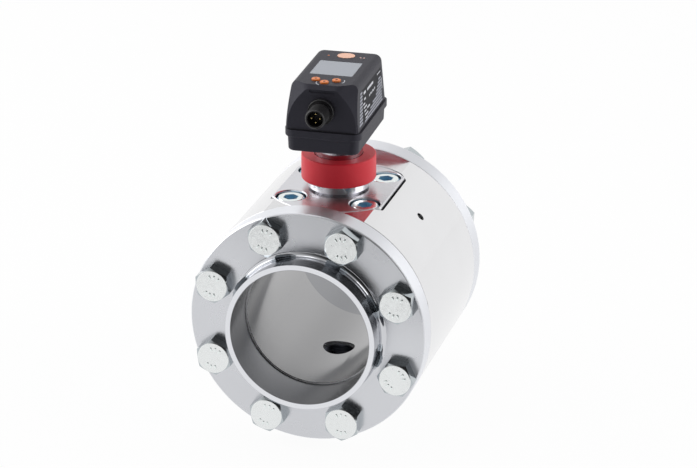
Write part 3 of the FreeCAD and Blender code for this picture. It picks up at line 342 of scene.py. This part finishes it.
# %% [markdown]
# ## Shared surface effects
# Three effects come back in many finishes, so each is a node group that is built once.
# *Lathe lines* are the fine rings that a lathe leaves: they follow the distance from the axis and
# the place along it. *Handling* is the soft cloudiness of a surface that has been wiped and
# touched. *Moulded grain* is the fine texture of a plastic mould.

# %% Shared surface effects
SPECKS_FINER = 25.0


def make_lathe_lines():
    group, given, result = new_group(
        "lathe_lines",
        [("Vector", "NodeSocketVector", None), ("Lines", "NodeSocketFloat", 4000.0)],
        [("Height", "NodeSocketFloat"), ("Radius", "NodeSocketFloat")],
    )
    parts = node(group, "ShaderNodeSeparateXYZ", {0: given["Vector"]}).outputs
    flat = node(group, "ShaderNodeCombineXYZ", {"X": parts["X"], "Y": parts["Z"]}).outputs[0]
    radius = vector_calc(group, "LENGTH", flat)["Value"]
    where = node(group, "ShaderNodeCombineXYZ", {"X": radius, "Y": parts["Y"]}).outputs[0]
    inputs = {"Vector": where, "Scale": given["Lines"], "Detail": 2.0}
    rings = node(group, "ShaderNodeTexNoise", inputs, noise_dimensions="2D")
    group.links.new(rings.outputs[0], result["Height"])
    group.links.new(radius, result["Radius"])
    return group


def make_handling():
    group, given, result = new_group(
        "handling",
        [("Vector", "NodeSocketVector", None), ("Scale", "NodeSocketFloat", 60.0)],
        [("Cloud", "NodeSocketFloat"), ("Specks", "NodeSocketFloat")],
    )
    spot, scale = given["Vector"], given["Scale"]
    cloud = node(group, "ShaderNodeTexNoise", {"Vector": spot, "Scale": scale, "Detail": 4.0})
    finer = calc(group, "MULTIPLY", scale, SPECKS_FINER)
    specks = node(group, "ShaderNodeTexNoise", {"Vector": spot, "Scale": finer, "Detail": 2.0})
    group.links.new(cloud.outputs[0], result["Cloud"])
    group.links.new(specks.outputs[0], result["Specks"])
    return group


def make_moulded_grain():
    group, given, result = new_group(
        "moulded_grain",
        [("Vector", "NodeSocketVector", None), ("Scale", "NodeSocketFloat", 2600.0)],
        [("Height", "NodeSocketFloat")],
    )
    spot, scale = given["Vector"], given["Scale"]
    pits = node(group, "ShaderNodeTexVoronoi", {"Vector": spot, "Scale": scale})
    soft = node(group, "ShaderNodeTexNoise", {"Vector": spot, "Scale": scale, "Detail": 2.0})
    both = calc(group, "ADD", pits.outputs["Distance"], soft.outputs[0])
    group.links.new(both, result["Height"])
    return group


lathe_lines = make_lathe_lines()
handling = make_handling()
moulded_grain = make_moulded_grain()
print("groups", [g.name for g in bpy.data.node_groups])

# %% [markdown]
# ## Metal finishes
# All the metal is bright, and differs in how far it is polished. The weld necks are mirror bright,
# the bores are smooth and their low tone is painted shade inside the pipe, the flange faces are
# turned and the rims are satin. These zones lie at different distances from the pipe's axis, so
# ramps on that distance set the roughness and the tone of a whole flange. Both flanges share one
# finish.
#
# A lathe leaves grooves round the axis, and such grooves smear a reflection across them. The shader
# does this with its anisotropic setting along a tangent. The sum of the outward direction and the
# axis gives the right tangent on a face and on a cylinder alike.
#
# Bolts and screws have one more surface of another tone: a patch between two levels along an axis
# picks out the end faces of the bolts and the key holes of the screws. The darker tone of the bolt
# sides is a painted reflection, and the darker bluish tone of the key holes is painted shade.

# %% Metal shader
NOISE_LOW, NOISE_HIGH = 0.3, 0.7
BUMP_DEPTH = 0.2 * MM
ACROSS_AXIS = (1, 0, 1)
ALONG_AXIS = (0, 3, 0)
finishes = {}


def new_finish(name):
    material = bpy.data.materials.new(name + "_look")
    material.use_nodes = True
    finishes[name] = material
    return material.node_tree, material.node_tree.nodes["Principled BSDF"]


def cloudy_color(tree, cloud, color, tint):
    darker = tuple(c * (1 - tint) for c in color)
    return mix_color(tree, cloud, (*darker, 1), (*color, 1))


def set_bump(tree, shader, height, strength):
    inputs = {"Strength": strength, "Distance": BUMP_DEPTH, "Height": height}
    bump = node(tree, "ShaderNodeBump", inputs)
    tree.links.new(bump.outputs[0], shader.inputs["Normal"])


def turned_zones(tree, radius, zones, base, level):
    """Change tone and roughness at each distance from the axis where a new zone begins."""
    low, high = zones[0][0], zones[-1][0]
    across = map_range(tree, radius, low, high, 0.0, 1.0)
    starts = [(begin - low) / (high - low) for begin, more, tone in zones]
    duller = grey_steps(tree, across, list(zip(starts, [more for begin, more, tone in zones])))
    tones = grey_steps(tree, across, list(zip(starts, [tone for begin, more, tone in zones])))
    return mix_color(tree, 1.0, base, tones, "MULTIPLY"), calc(tree, "ADD", duller, level)


def lathe_tangent(tree, spot):
    outward = vector_calc(tree, "MULTIPLY", spot, ACROSS_AXIS)[0]
    outward = vector_calc(tree, "NORMALIZE", outward)[0]
    return vector_calc(tree, "ADD", outward, ALONG_AXIS)[0]


def metal(name, color, rough=(0.15, 0.25), lines=4000.0, line_bump=0.02, cloud_scale=40.0,
          tint=0.06, anisotropic=0.0, axis_shift=(0, 0, 0), axis_turn=(0, 0, 0), zones=None,
          patch=None):
    tree, shader = new_finish(name)
    shader.inputs["Metallic"].default_value = 1.0
    shader.inputs["Anisotropic"].default_value = anisotropic
    spot = node(tree, "ShaderNodeTexCoord").outputs["Object"]
    place = {"Vector": spot, "Location": axis_shift, "Rotation": axis_turn}
    on_axis = node(tree, "ShaderNodeMapping", place).outputs[0]
    rings = use_group(tree, lathe_lines, on_axis, Lines=lines)
    wear = use_group(tree, handling, spot, Scale=cloud_scale)
    base = cloudy_color(tree, wear["Cloud"], color, tint)
    level = map_range(tree, wear["Cloud"], NOISE_LOW, NOISE_HIGH, *rough)
    if zones:
        base, level = turned_zones(tree, rings["Radius"], zones, base, level)
    if patch:
        axis, low, high, patch_color, more = patch
        inside = between(tree, spot, axis, low, high)
        base = mix_color(tree, inside, base, (*patch_color, 1))
        level = calc(tree, "MULTIPLY_ADD", inside, more, level)
    tree.links.new(base, shader.inputs["Base Color"])
    tree.links.new(level, shader.inputs["Roughness"])
    set_bump(tree, shader, rings["Height"], line_bump)
    if anisotropic:
        tree.links.new(lathe_tangent(tree, spot), shader.inputs["Tangent"])


# %% Turned steel
# Each zone: the radius where it begins, its extra roughness and its tone. The last row ends the
# outermost zone.
FLANGE_ZONES = [
    # The bore's low tone is painted shade inside the pipe.
    (38.0 * MM, 0.10, 0.43),  # bore
    (41.4 * MM, 0.04, 1.15),  # end face of the neck
    (44.2 * MM, 0.02, 0.95),  # neck
    (47.4 * MM, 0.20, 1.0),  # turned face
    (69.5 * MM, 0.30, 1.25),  # rim
    (72.0 * MM, 0.30, 1.25),
]
BODY_ZONES = [
    # The bore's low tone is painted shade inside the pipe.
    (38.0 * MM, 0.12, 0.46),  # bore
    (40.4 * MM, 0.80, 1.25),  # step at the flange
    (44.0 * MM, 0.05, 1.0),  # end faces
    (62.0 * MM, 0.16, 0.95),  # milled flat
    (69.8 * MM, 0.05, 1.0),  # polished outside
    (72.0 * MM, 0.05, 1.0),
]
POLISHED = (0.05, 0.09)
UPRIGHT = {"axis_shift": (0, 0, SENSOR_Y), "axis_turn": (math.radians(90), 0, 0)}
BRIGHT_LATHE = {"line_bump": 0.05, "lines": 5000.0, **UPRIGHT}
metal("flange_steel", (0.66, 0.67, 0.70), POLISHED, line_bump=0.03, anisotropic=0.65,
      zones=FLANGE_ZONES)
metal("body_steel", (0.80, 0.80, 0.81), POLISHED, anisotropic=0.6, zones=BODY_ZONES)
metal("plate_steel", (0.70, 0.70, 0.73), (0.24, 0.32), lines=2500.0, anisotropic=0.8)
# The stem's darker tone is painted shade and a painted reflection of the dark head just above it.
metal("stem_painted_shade", (0.52, 0.50, 0.54), (0.08, 0.14), **BRIGHT_LATHE)
metal("union_steel", (0.72, 0.71, 0.74), (0.20, 0.30), **BRIGHT_LATHE)
metal("probe_steel", (0.70, 0.70, 0.72), (0.22, 0.32), line_bump=0.05, **UPRIGHT)
# On the port thread in the bottom of the body, this dark colour is painted shade in the hole.
metal("thread_steel", (0.20, 0.21, 0.25), (0.25, 0.35), line_bump=0.0)
print("turned steel made")

# %% Plated metal
ZINC = {"rough": (0.10, 0.20), "line_bump": 0.0, "cloud_scale": 400.0, "tint": 0.10}
ZINC_WHITE = (0.84, 0.89, 0.88)
# The darker grey of the bolt sides is a painted reflection.
PAINTED_DARK_BOLT_SIDES = (0.50, 0.54, 0.56)
BOLT_ENDS = (0.80, 0.82, 0.82)
BOLT_END_DEPTH = 7.2 * MM
BOLT_END_ROUGH = 0.10
# The key holes' darker bluish tone is painted shade in the recess.
KEY_PAINTED_SHADE_BLUE = (0.42, 0.66, 0.80)
KEY_HIGH = 62.2 * MM
KEY_ROUGH = 0.40
inlet_ends = ("Y", 0.0, BOLT_END_DEPTH, BOLT_ENDS, BOLT_END_ROUGH)
outlet_ends = ("Y", PART_LENGTH - BOLT_END_DEPTH, PART_LENGTH, BOLT_ENDS, BOLT_END_ROUGH)
metal("zinc_steel", ZINC_WHITE, **ZINC)
metal("inlet_zinc_painted_sides", PAINTED_DARK_BOLT_SIDES, patch=inlet_ends, **ZINC)
metal("outlet_zinc_painted_sides", PAINTED_DARK_BOLT_SIDES, patch=outlet_ends, **ZINC)
metal("screw_zinc_painted_key_shade", ZINC_WHITE, patch=("Z", 0.0, KEY_HIGH, KEY_PAINTED_SHADE_BLUE, KEY_ROUGH), **ZINC)
metal("pin_gold", (0.86, 0.66, 0.28), (0.12, 0.2), line_bump=0.0)
metal("washer_copper", (0.78, 0.44, 0.28), (0.2, 0.3), **UPRIGHT)
print("plated metal made")

# %% [markdown]
# ## Plastic and rubber
# The head is moulded in a dark grey plastic with a fine grain. The union ring is a satin red, the
# buttons and the badge are orange. A little cloudiness in colour and gloss keeps large faces from
# looking painted on. The lamps on the right are paler than the one on the left, so their finish has
# a patch between two levels along one axis.

# %% Plastic shader
GLOSS_SPREAD = 0.05


def plastic(name, color, rough, grain=2600.0, grain_bump=0.08, tint=0.12, coat=0.0, shine=0.5,
            shine_color=(1, 1, 1), patch=None):
    tree, shader = new_finish(name)
    shader.inputs["Coat Weight"].default_value = coat
    shader.inputs["Specular IOR Level"].default_value = shine
    shader.inputs["Specular Tint"].default_value = (*shine_color, 1)
    spot = node(tree, "ShaderNodeTexCoord").outputs["Object"]
    wear = use_group(tree, handling, spot)
    base = cloudy_color(tree, wear["Cloud"], color, tint)
    if patch:
        axis, low, high, patch_color = patch
        base = mix_color(tree, between(tree, spot, axis, low, high), base, (*patch_color, 1))
    tree.links.new(base, shader.inputs["Base Color"])
    gloss = map_range(tree, wear["Specks"], NOISE_LOW, NOISE_HIGH, rough - GLOSS_SPREAD,
                      rough + GLOSS_SPREAD)
    tree.links.new(gloss, shader.inputs["Roughness"])
    skin = use_group(tree, moulded_grain, spot, Scale=grain)
    set_bump(tree, shader, skin["Height"], grain_bump)


# %% Plastic finishes
LAMP_PINK = (0.80, 0.50, 0.45)
RIGHT_HALF = (0.0, 30.0 * MM)
plastic("head_black", (0.022, 0.0207, 0.0277), 0.54, shine=0.40, shine_color=(0.82, 0.83, 1.0))
plastic("collar_red", (0.78, 0.027, 0.046), 0.42, grain=1800.0, grain_bump=0.05, shine=0.35)
plastic("seal_black", (0.020, 0.020, 0.022), 0.6)
plastic("button_orange", (0.78, 0.20, 0.030), 0.30, grain_bump=0.02)
plastic("button_dark", (0.008, 0.005, 0.004), 0.6, shine=0.2)
plastic("badge_orange", (0.86, 0.42, 0.25), 0.18, grain_bump=0.0, coat=0.4)
plastic("lamp_clear", (0.92, 0.26, 0.06), 0.2, grain_bump=0.0, patch=("X", *RIGHT_HALF, LAMP_PINK))
plastic("board_green", (0.02, 0.16, 0.07), 0.35)
plastic("electronics_black", (0.010, 0.009, 0.011), 0.4)
plastic("display_grey", (0.46, 0.48, 0.56), 0.3, grain=5000.0, grain_bump=0.01, tint=0.05)
plastic("label_film", (0.008, 0.008, 0.013), 0.55, grain_bump=0.02, shine=0.12)
plastic("print_white", (0.62, 0.63, 0.68), 0.5, grain_bump=0.03)
plastic("print_grey", (0.34, 0.35, 0.41), 0.5, grain_bump=0.03)
print("plastics made")

# %% Clear pane
PANE_GREY = (0.40, 0.43, 0.49, 1)
PANE_CLEAR = 0.3
PANE_IOR = 1.46
PANE_ROUGH = (0.12, 0.18)


def clear_pane():
    tree, shader = new_finish("window_clear")
    shader.inputs["Base Color"].default_value = PANE_GREY
    shader.inputs["Transmission Weight"].default_value = PANE_CLEAR
    shader.inputs["IOR"].default_value = PANE_IOR
    spot = node(tree, "ShaderNodeTexCoord").outputs["Object"]
    wear = use_group(tree, handling, spot)
    gloss = map_range(tree, wear["Cloud"], NOISE_LOW, NOISE_HIGH, *PANE_ROUGH)
    tree.links.new(gloss, shader.inputs["Roughness"])


clear_pane()
print("finishes:", len(finishes))

# %% [markdown]
# ## Finishes for the solid parts
# The shapes of the solid model are right, so its parts stay and only get their finish. The record
# names a material slot for every part, and the finishes here carry the same names. A few parts have
# a finish of their own: the bolts have lighter and duller end faces and sides painted darker as
# reflection, the plate screws have key holes painted darker and bluish as shade, the stem is
# painted darker as shade and reflection, and the boss under it is satin.

# %% Finishes for the solid parts
OWN_FINISH = {
    "inlet_bolts": "inlet_zinc_painted_sides",
    "outlet_bolts": "outlet_zinc_painted_sides",
    "plate_screws": "screw_zinc_painted_key_shade",
    "sensor_stem": "stem_painted_shade",
    "union_socket": "union_steel",
}
for part in frame["record"]["subparts"]:
    item = nodes[part["node"]]
    item.data.materials.clear()
    finish = OWN_FINISH.get(part["node"], part["material_slot"])
    item.data.materials.append(finishes[finish])

# %% [markdown]
# ## Building small pieces
# Each new piece starts as an empty bmesh, is shaped by operators, has its normals checked and is
# then tied to the body that carries it. Pieces on the head are shaped square to the axes first, and
# turned with the head afterwards: the head stands two degrees round on its stem.

# %% Building small pieces
HEAD_TURN = math.radians(2.0)
HEAD_PLACE = Matrix.Translation((0, SENSOR_Y, 0)) @ Matrix.Rotation(HEAD_TURN, 4, "Z")
METER_PLACE = Matrix.Identity(4)
WELD_GAP = 1e-6
SMOOTH_ANGLE = math.radians(35)
SPIN_STEPS = 72
BEVEL_SEGMENTS = 2


def finish_piece(shape, name, finish, body, place=METER_PLACE):
    bmesh.ops.remove_doubles(shape, verts=shape.verts, dist=WELD_GAP)
    bmesh.ops.recalc_face_normals(shape, faces=shape.faces)
    bmesh.ops.transform(shape, matrix=place, verts=shape.verts)
    mesh = bpy.data.meshes.new(name)
    shape.to_mesh(mesh)
    shape.free()
    mesh.materials.append(finishes[finish])
    mesh.shade_smooth()
    mesh.set_sharp_from_angle(angle=SMOOTH_ANGLE)
    piece = bpy.data.objects.new(name, mesh)
    scene.collection.objects.link(piece)
    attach(piece, body)
    print(name, len(mesh.polygons), "faces")
    return piece


def closed_outline(shape, points):
    """Corners and edges of an outline whose last point joins its first."""
    corners = [shape.verts.new(point) for point in points]
    following = corners[1:] + corners[:1]
    return corners + [shape.edges.new(pair) for pair in zip(corners, following)]


def spin_profile(shape, profile, axis, centre):
    """Closed ring from an outline of points, turned once round the axis."""
    outline = closed_outline(shape, profile)
    bmesh.ops.spin(shape, geom=outline, cent=centre, axis=axis, angle=2 * math.pi,
                   steps=SPIN_STEPS, use_merge=True)


def bar(shape, size, place, round_edge=0.0):
    """Small block at a place, with bevelled edges where asked."""
    made = bmesh.ops.create_cube(shape, size=1.0)["verts"]
    bmesh.ops.scale(shape, vec=size, verts=made)
    if round_edge:
        edges = list({e for v in made for e in v.link_edges})
        made = bmesh.ops.bevel(shape, geom=edges, offset=round_edge, affect="EDGES",
                               segments=BEVEL_SEGMENTS, profile=0.5, material=-1)["verts"]
    bmesh.ops.transform(shape, matrix=place, verts=made)


# %% [markdown]
# ## The plug socket
# The cable screws onto a round plug with a fine outside thread and four pins in its mouth. The
# solid model keeps the thread as a plain cylinder. Here the real outline is drawn once, teeth and
# all, and spun round the plug's axis. Its sizes are in millimetres, in the head's own directions.

# %% Plug socket
CONN_Z = 122.8
PLUG_TIP = -53.2
PLUG_FLANGE = -41.0
HEAD_FACE = -38.6
PLUG_TAIL = -29.9
MOUTH_R = 4.6
MOUTH_CHAMFER = 0.3
ROOT_R = 5.45
TIP_CHAMFER = 0.2
THREAD_R = 6.0
CREST_R = THREAD_R - 0.06
THREAD_PITCH = 1.0
THREAD_LEAD = 0.4
THREAD_RUNOUT = 0.9
CREST_START, CREST_END, TOOTH_END = 0.35, 0.5, 0.85
FLANGE_STEP = 0.02
GROOVE_RADII = (6.3, 6.5, 6.9, 7.1)
GROOVE_DEPTH = 0.35
RIM_R = 7.6
RIM_FLAT_R = 7.35
RIM_CHAMFER = 0.3


def plug_profile():
    outline = [(MOUTH_R, PLUG_TAIL), (MOUTH_R, PLUG_TIP + MOUTH_CHAMFER)]
    outline += [(MOUTH_R + MOUTH_CHAMFER, PLUG_TIP), (ROOT_R - TIP_CHAMFER, PLUG_TIP)]
    y = PLUG_TIP + THREAD_LEAD
    while y + THREAD_PITCH < PLUG_FLANGE - THREAD_RUNOUT:
        outline += [(ROOT_R, y), (CREST_R, y + CREST_START)]
        outline += [(CREST_R, y + CREST_END), (ROOT_R, y + TOOTH_END)]
        y += THREAD_PITCH
    outline += [(ROOT_R, PLUG_FLANGE - FLANGE_STEP)]
    groove_floor = PLUG_FLANGE + GROOVE_DEPTH
    levels = (PLUG_FLANGE, groove_floor, groove_floor, PLUG_FLANGE)
    outline += list(zip(GROOVE_RADII, levels))
    outline += [(RIM_FLAT_R, PLUG_FLANGE), (RIM_R, PLUG_FLANGE + RIM_CHAMFER)]
    outline += [(RIM_R, HEAD_FACE), (THREAD_R, HEAD_FACE), (THREAD_R, PLUG_TAIL)]
    return [(0, y * MM, (CONN_Z + r) * MM) for r, y in outline]


shape = bmesh.new()
spin_profile(shape, plug_profile(), (0, 1, 0), (0, 0, CONN_Z * MM))
plug_socket = finish_piece(shape, "plug_socket", "electronics_black", "head",
                           HEAD_PLACE)
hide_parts("connector_body")

# %% [markdown]
# A small key in the plug's mouth lets the cable go on in one position only.

# %% Plug key
KEY_SIZE = (1.3 * MM, 6.5 * MM, 0.9 * MM)
KEY_PLACE = Matrix.Translation((0, -48.5 * MM, (CONN_Z + 4.3) * MM))
KEY_ROUND = 0.15 * MM
shape = bmesh.new()
bar(shape, KEY_SIZE, KEY_PLACE, KEY_ROUND)
finish_piece(shape, "plug_key", "electronics_black", "head", HEAD_PLACE)

# %% [markdown]
# ## Marks on the bolt heads
# Forged bolt heads carry raised marks. Two rows of three short bars stand for them, and each head
# is turned as its bolt happened to stop, so that the heads don't all look alike.

# %% Bolt marks
BOLT_CIRCLE = 59.0 * MM
BOLT_COUNT = 8
HEAD_TURNS = (-2, 6, 25, 0, 10, 7, 7, 8)
MARK_TWIST = 2
HEAD_FACE_Y = 7.0 * MM
MARK_R = 5.6 * MM
MARK_SIZE = (1.1 * MM, 0.7 * MM, 2.2 * MM)
MARK_ROUND = 0.18 * MM
MARK_ANGLES = (-27, 0, 27, 153, 180, 207)


def bolt_marks():
    shape = bmesh.new()
    for k in range(BOLT_COUNT):
        angle = 2 * math.pi * (k + 0.5) / BOLT_COUNT
        x, z = BOLT_CIRCLE * math.sin(angle), BOLT_CIRCLE * math.cos(angle)
        head = Matrix.Translation((x, HEAD_FACE_Y, z))
        for mark in MARK_ANGLES:
            turn = Matrix.Rotation(math.radians(HEAD_TURNS[k] * MARK_TWIST + mark), 4, "Y")
            place = head @ turn @ Matrix.Translation((0, 0, MARK_R))
            bar(shape, MARK_SIZE, place, MARK_ROUND)
    return shape


finish_piece(bolt_marks(), "inlet_bolt_marks", "zinc_steel", "meter")
to_outlet = Matrix.Translation((0, PART_LENGTH, 0)) @ Matrix.Rotation(math.pi, 4, "Z")
finish_piece(bolt_marks(), "outlet_bolt_marks", "zinc_steel", "meter", to_outlet)

# %% [markdown]
# ## Thread in the bottom port
# Through the bore one sees a threaded hole in the bottom of the body, whose dark colour is painted
# shade in the hole. A ring of small teeth in its wall is enough to read as a thread. Its sizes are
# in millimetres.

# %% Port thread
PORT_R = 9.45
PORT_CREST_R = PORT_R - 0.7
PORT_ROOT_R = PORT_R - 0.15
PORT_LOW = -51.3
PORT_HIGH = -41.3
PORT_PITCH = 1.0
PORT_LIP = 0.2


def port_profile():
    outline = [(PORT_R, PORT_LOW)]
    z = PORT_LOW
    while z + PORT_PITCH < PORT_HIGH:
        outline += [(PORT_CREST_R, z + PORT_PITCH / 2), (PORT_ROOT_R, z + PORT_PITCH)]
        z += PORT_PITCH
    outline += [(PORT_R, z + PORT_LIP)]
    return [(r * MM, SENSOR_Y, z * MM) for r, z in outline]


shape = bmesh.new()
spin_profile(shape, port_profile(), (0, 0, 1), (0, SENSOR_Y, 0))
# The thread's dark colour is painted shade in the hole.
finish_piece(shape, "port_thread", "thread_steel", "meter")

# %% [markdown]
# ## Label on the head
# The right side of the head carries a dark film that is printed with the meter's data. This part
# names nobody, so the print is kept as plain bars and fields in the same places. The film and the
# print are thin skins on the leaning side wall, and the print stands a little higher than the film,
# so that the two never fight for the same place.

# %% Side wall
SIDE_LOW_Z = 110.9
SIDE_HALF_W = 21.3
SIDE_LEAN = 2.1 / 26.8
FILM_T = 0.06
PRINT_T = 0.12


def side_skin(fields, thick):
    """Thin fields on the right wall: front, low, length and height of each, in millimetres."""
    shape = bmesh.new()
    lean = Matrix.Rotation(-math.atan(SIDE_LEAN), 4, "Y")
    for front, low, length, height in fields:
        y, z = front + length / 2, low + height / 2
        x = SIDE_HALF_W - SIDE_LEAN * (z - SIDE_LOW_Z)
        place = Matrix.Translation((x * MM, y * MM, z * MM)) @ lean
        bar(shape, (thick * MM, length * MM, height * MM), place)
    return shape


# %% Film and white print
film_fields = [(-24.0, 113.0, 45.0, 18.6), (-27.5, 113.0, 4.0, 15.0), (-31.0, 113.0, 4.0, 8.0)]
white_fields = [
    (-12.0, 127.9, 14.0, 1.5),  # title bar
    (-20.2, 128.1, 4.9, 1.5),
    (-20.0, 124.7, 3.6, 1.2),
    (-14.7, 118.2, 6.1, 1.0),
    (11.5, 129.4, 8.0, 0.6),
    (20.2, 118.8, 0.8, 6.5),  # upright bar at the rear
]
DASHES, DASH_FRONT, DASH_LOW, DASH_STEP, DASH_RISE = 6, -8.5, 123.3, 2.4, 0.4
DASH_SIZE = (1.5, 1.2)
for k in range(DASHES):
    front, low = DASH_FRONT + DASH_STEP * k, DASH_LOW + DASH_RISE * (k % 2)
    white_fields.append((front, low, *DASH_SIZE))
ROWS, ROW_FRONT, ROW_LOW, ROW_SHIFT, ROW_DROP = 5, -23.0, 122.4, 0.8, 2.2
ROW_LENGTH, ROW_EXTRA, ROW_HEIGHT = 4.5, 2.5, 0.9
for k in range(ROWS):
    length = ROW_LENGTH + ROW_EXTRA * (k % 2)
    white_fields.append((ROW_FRONT + ROW_SHIFT * k, ROW_LOW - ROW_DROP * k, length, ROW_HEIGHT))
finish_piece(side_skin(film_fields, FILM_T), "side_film", "label_film", "head",
             HEAD_PLACE)
finish_piece(side_skin(white_fields, PRINT_T), "side_print_white", "print_white", "head",
             HEAD_PLACE)

# %% Grey print
LEADS, LEAD_FRONT, LEAD_LOW, LEAD_SHIFT, LEAD_STEP = 10, -34.0, 113.2, 0.75, 1.85
LEAD_LENGTH, LEAD_LOSS, LEAD_HEIGHT = 7.6, 0.35, 1.2
TEXT_FRONTS = (-22, -15, -8, -2, 6, 8, 10, 12, 14)
TEXT_REAR, TEXT_LOW, TEXT_STEP, TEXT_HEIGHT = 19.3, 112.2, 1.7, 1.0
grey_fields = []
for k in range(LEADS):
    front, low = LEAD_FRONT + LEAD_SHIFT * k, LEAD_LOW + LEAD_STEP * k
    grey_fields.append((front, low, LEAD_LENGTH - LEAD_LOSS * k, LEAD_HEIGHT))
for k, front in enumerate(TEXT_FRONTS):
    grey_fields.append((front, TEXT_LOW + TEXT_STEP * k, TEXT_REAR - front, TEXT_HEIGHT))
finish_piece(side_skin(grey_fields, PRINT_T), "side_print_grey", "print_grey", "head",
             HEAD_PLACE)

# %% [markdown]
# ## Painted shade dots on the buttons
# Each button has a small dimple. A dark dot at its bottom is painted shade that makes it read, and
# rides on its own button.

# %% Button dots
BUTTON_TOP = 138.7
BUTTONS = {
    "button_left": (-6.0, -28.2),
    "button_middle": (0.0, -32.2),
    "button_right": (6.0, -27.8),
}
DOT_LOW_R = 0.84 * MM
DOT_HIGH_R = 0.92 * MM
DOT_T = 0.06 * MM
DOT_SINK = 0.10
DOT_SIDES = 24
# Each dot is dark as painted shade in the button's dimple.
for button, (x, y) in BUTTONS.items():
    shape = bmesh.new()
    bmesh.ops.create_cone(shape, cap_ends=True, segments=DOT_SIDES, radius1=DOT_LOW_R,
                          radius2=DOT_HIGH_R, depth=DOT_T)
    place = (x * MM, y * MM, (BUTTON_TOP - DOT_SINK) * MM)
    bmesh.ops.translate(shape, verts=shape.verts, vec=place)
    finish_piece(shape, button + "_painted_shade_dot", "button_dark", button, HEAD_PLACE)

# %% [markdown]
# ## Arcs beside the buttons
# A thin white arc is printed beside two of the buttons. A small upright outline is spun through
# part of a turn round the button's axis, and the two open ends are closed. Each arc begins at its
# own angle, which keeps it clear of the neighbouring button.

# %% Button arcs
HEAD_TOP = 137.7
ARC_R = 4.4
ARC_WIDTH = 0.45
ARC_LOW, ARC_HIGH = -0.1, 0.05
ARC_SWEEP = math.radians(70)
ARC_STEPS = 10
ARCS = {"button_middle": math.radians(170), "button_right": math.radians(-35)}
outer = ARC_R + ARC_WIDTH
section = [(ARC_R, ARC_LOW), (outer, ARC_LOW), (outer, ARC_HIGH), (ARC_R, ARC_HIGH)]
shape = bmesh.new()
for button, start in ARCS.items():
    x, y = BUTTONS[button]
    turn = Matrix.Translation((x * MM, y * MM, HEAD_TOP * MM)) @ Matrix.Rotation(start, 4, "Z")
    outline = closed_outline(shape, [turn @ Vector((r * MM, 0, z * MM)) for r, z in section])
    bmesh.ops.spin(shape, geom=outline, cent=(x * MM, y * MM, 0), axis=(0, 0, 1), angle=ARC_SWEEP,
                   steps=ARC_STEPS)
bmesh.ops.holes_fill(shape, edges=shape.edges, sides=len(section))
finish_piece(shape, "button_arcs", "print_white", "head", HEAD_PLACE)
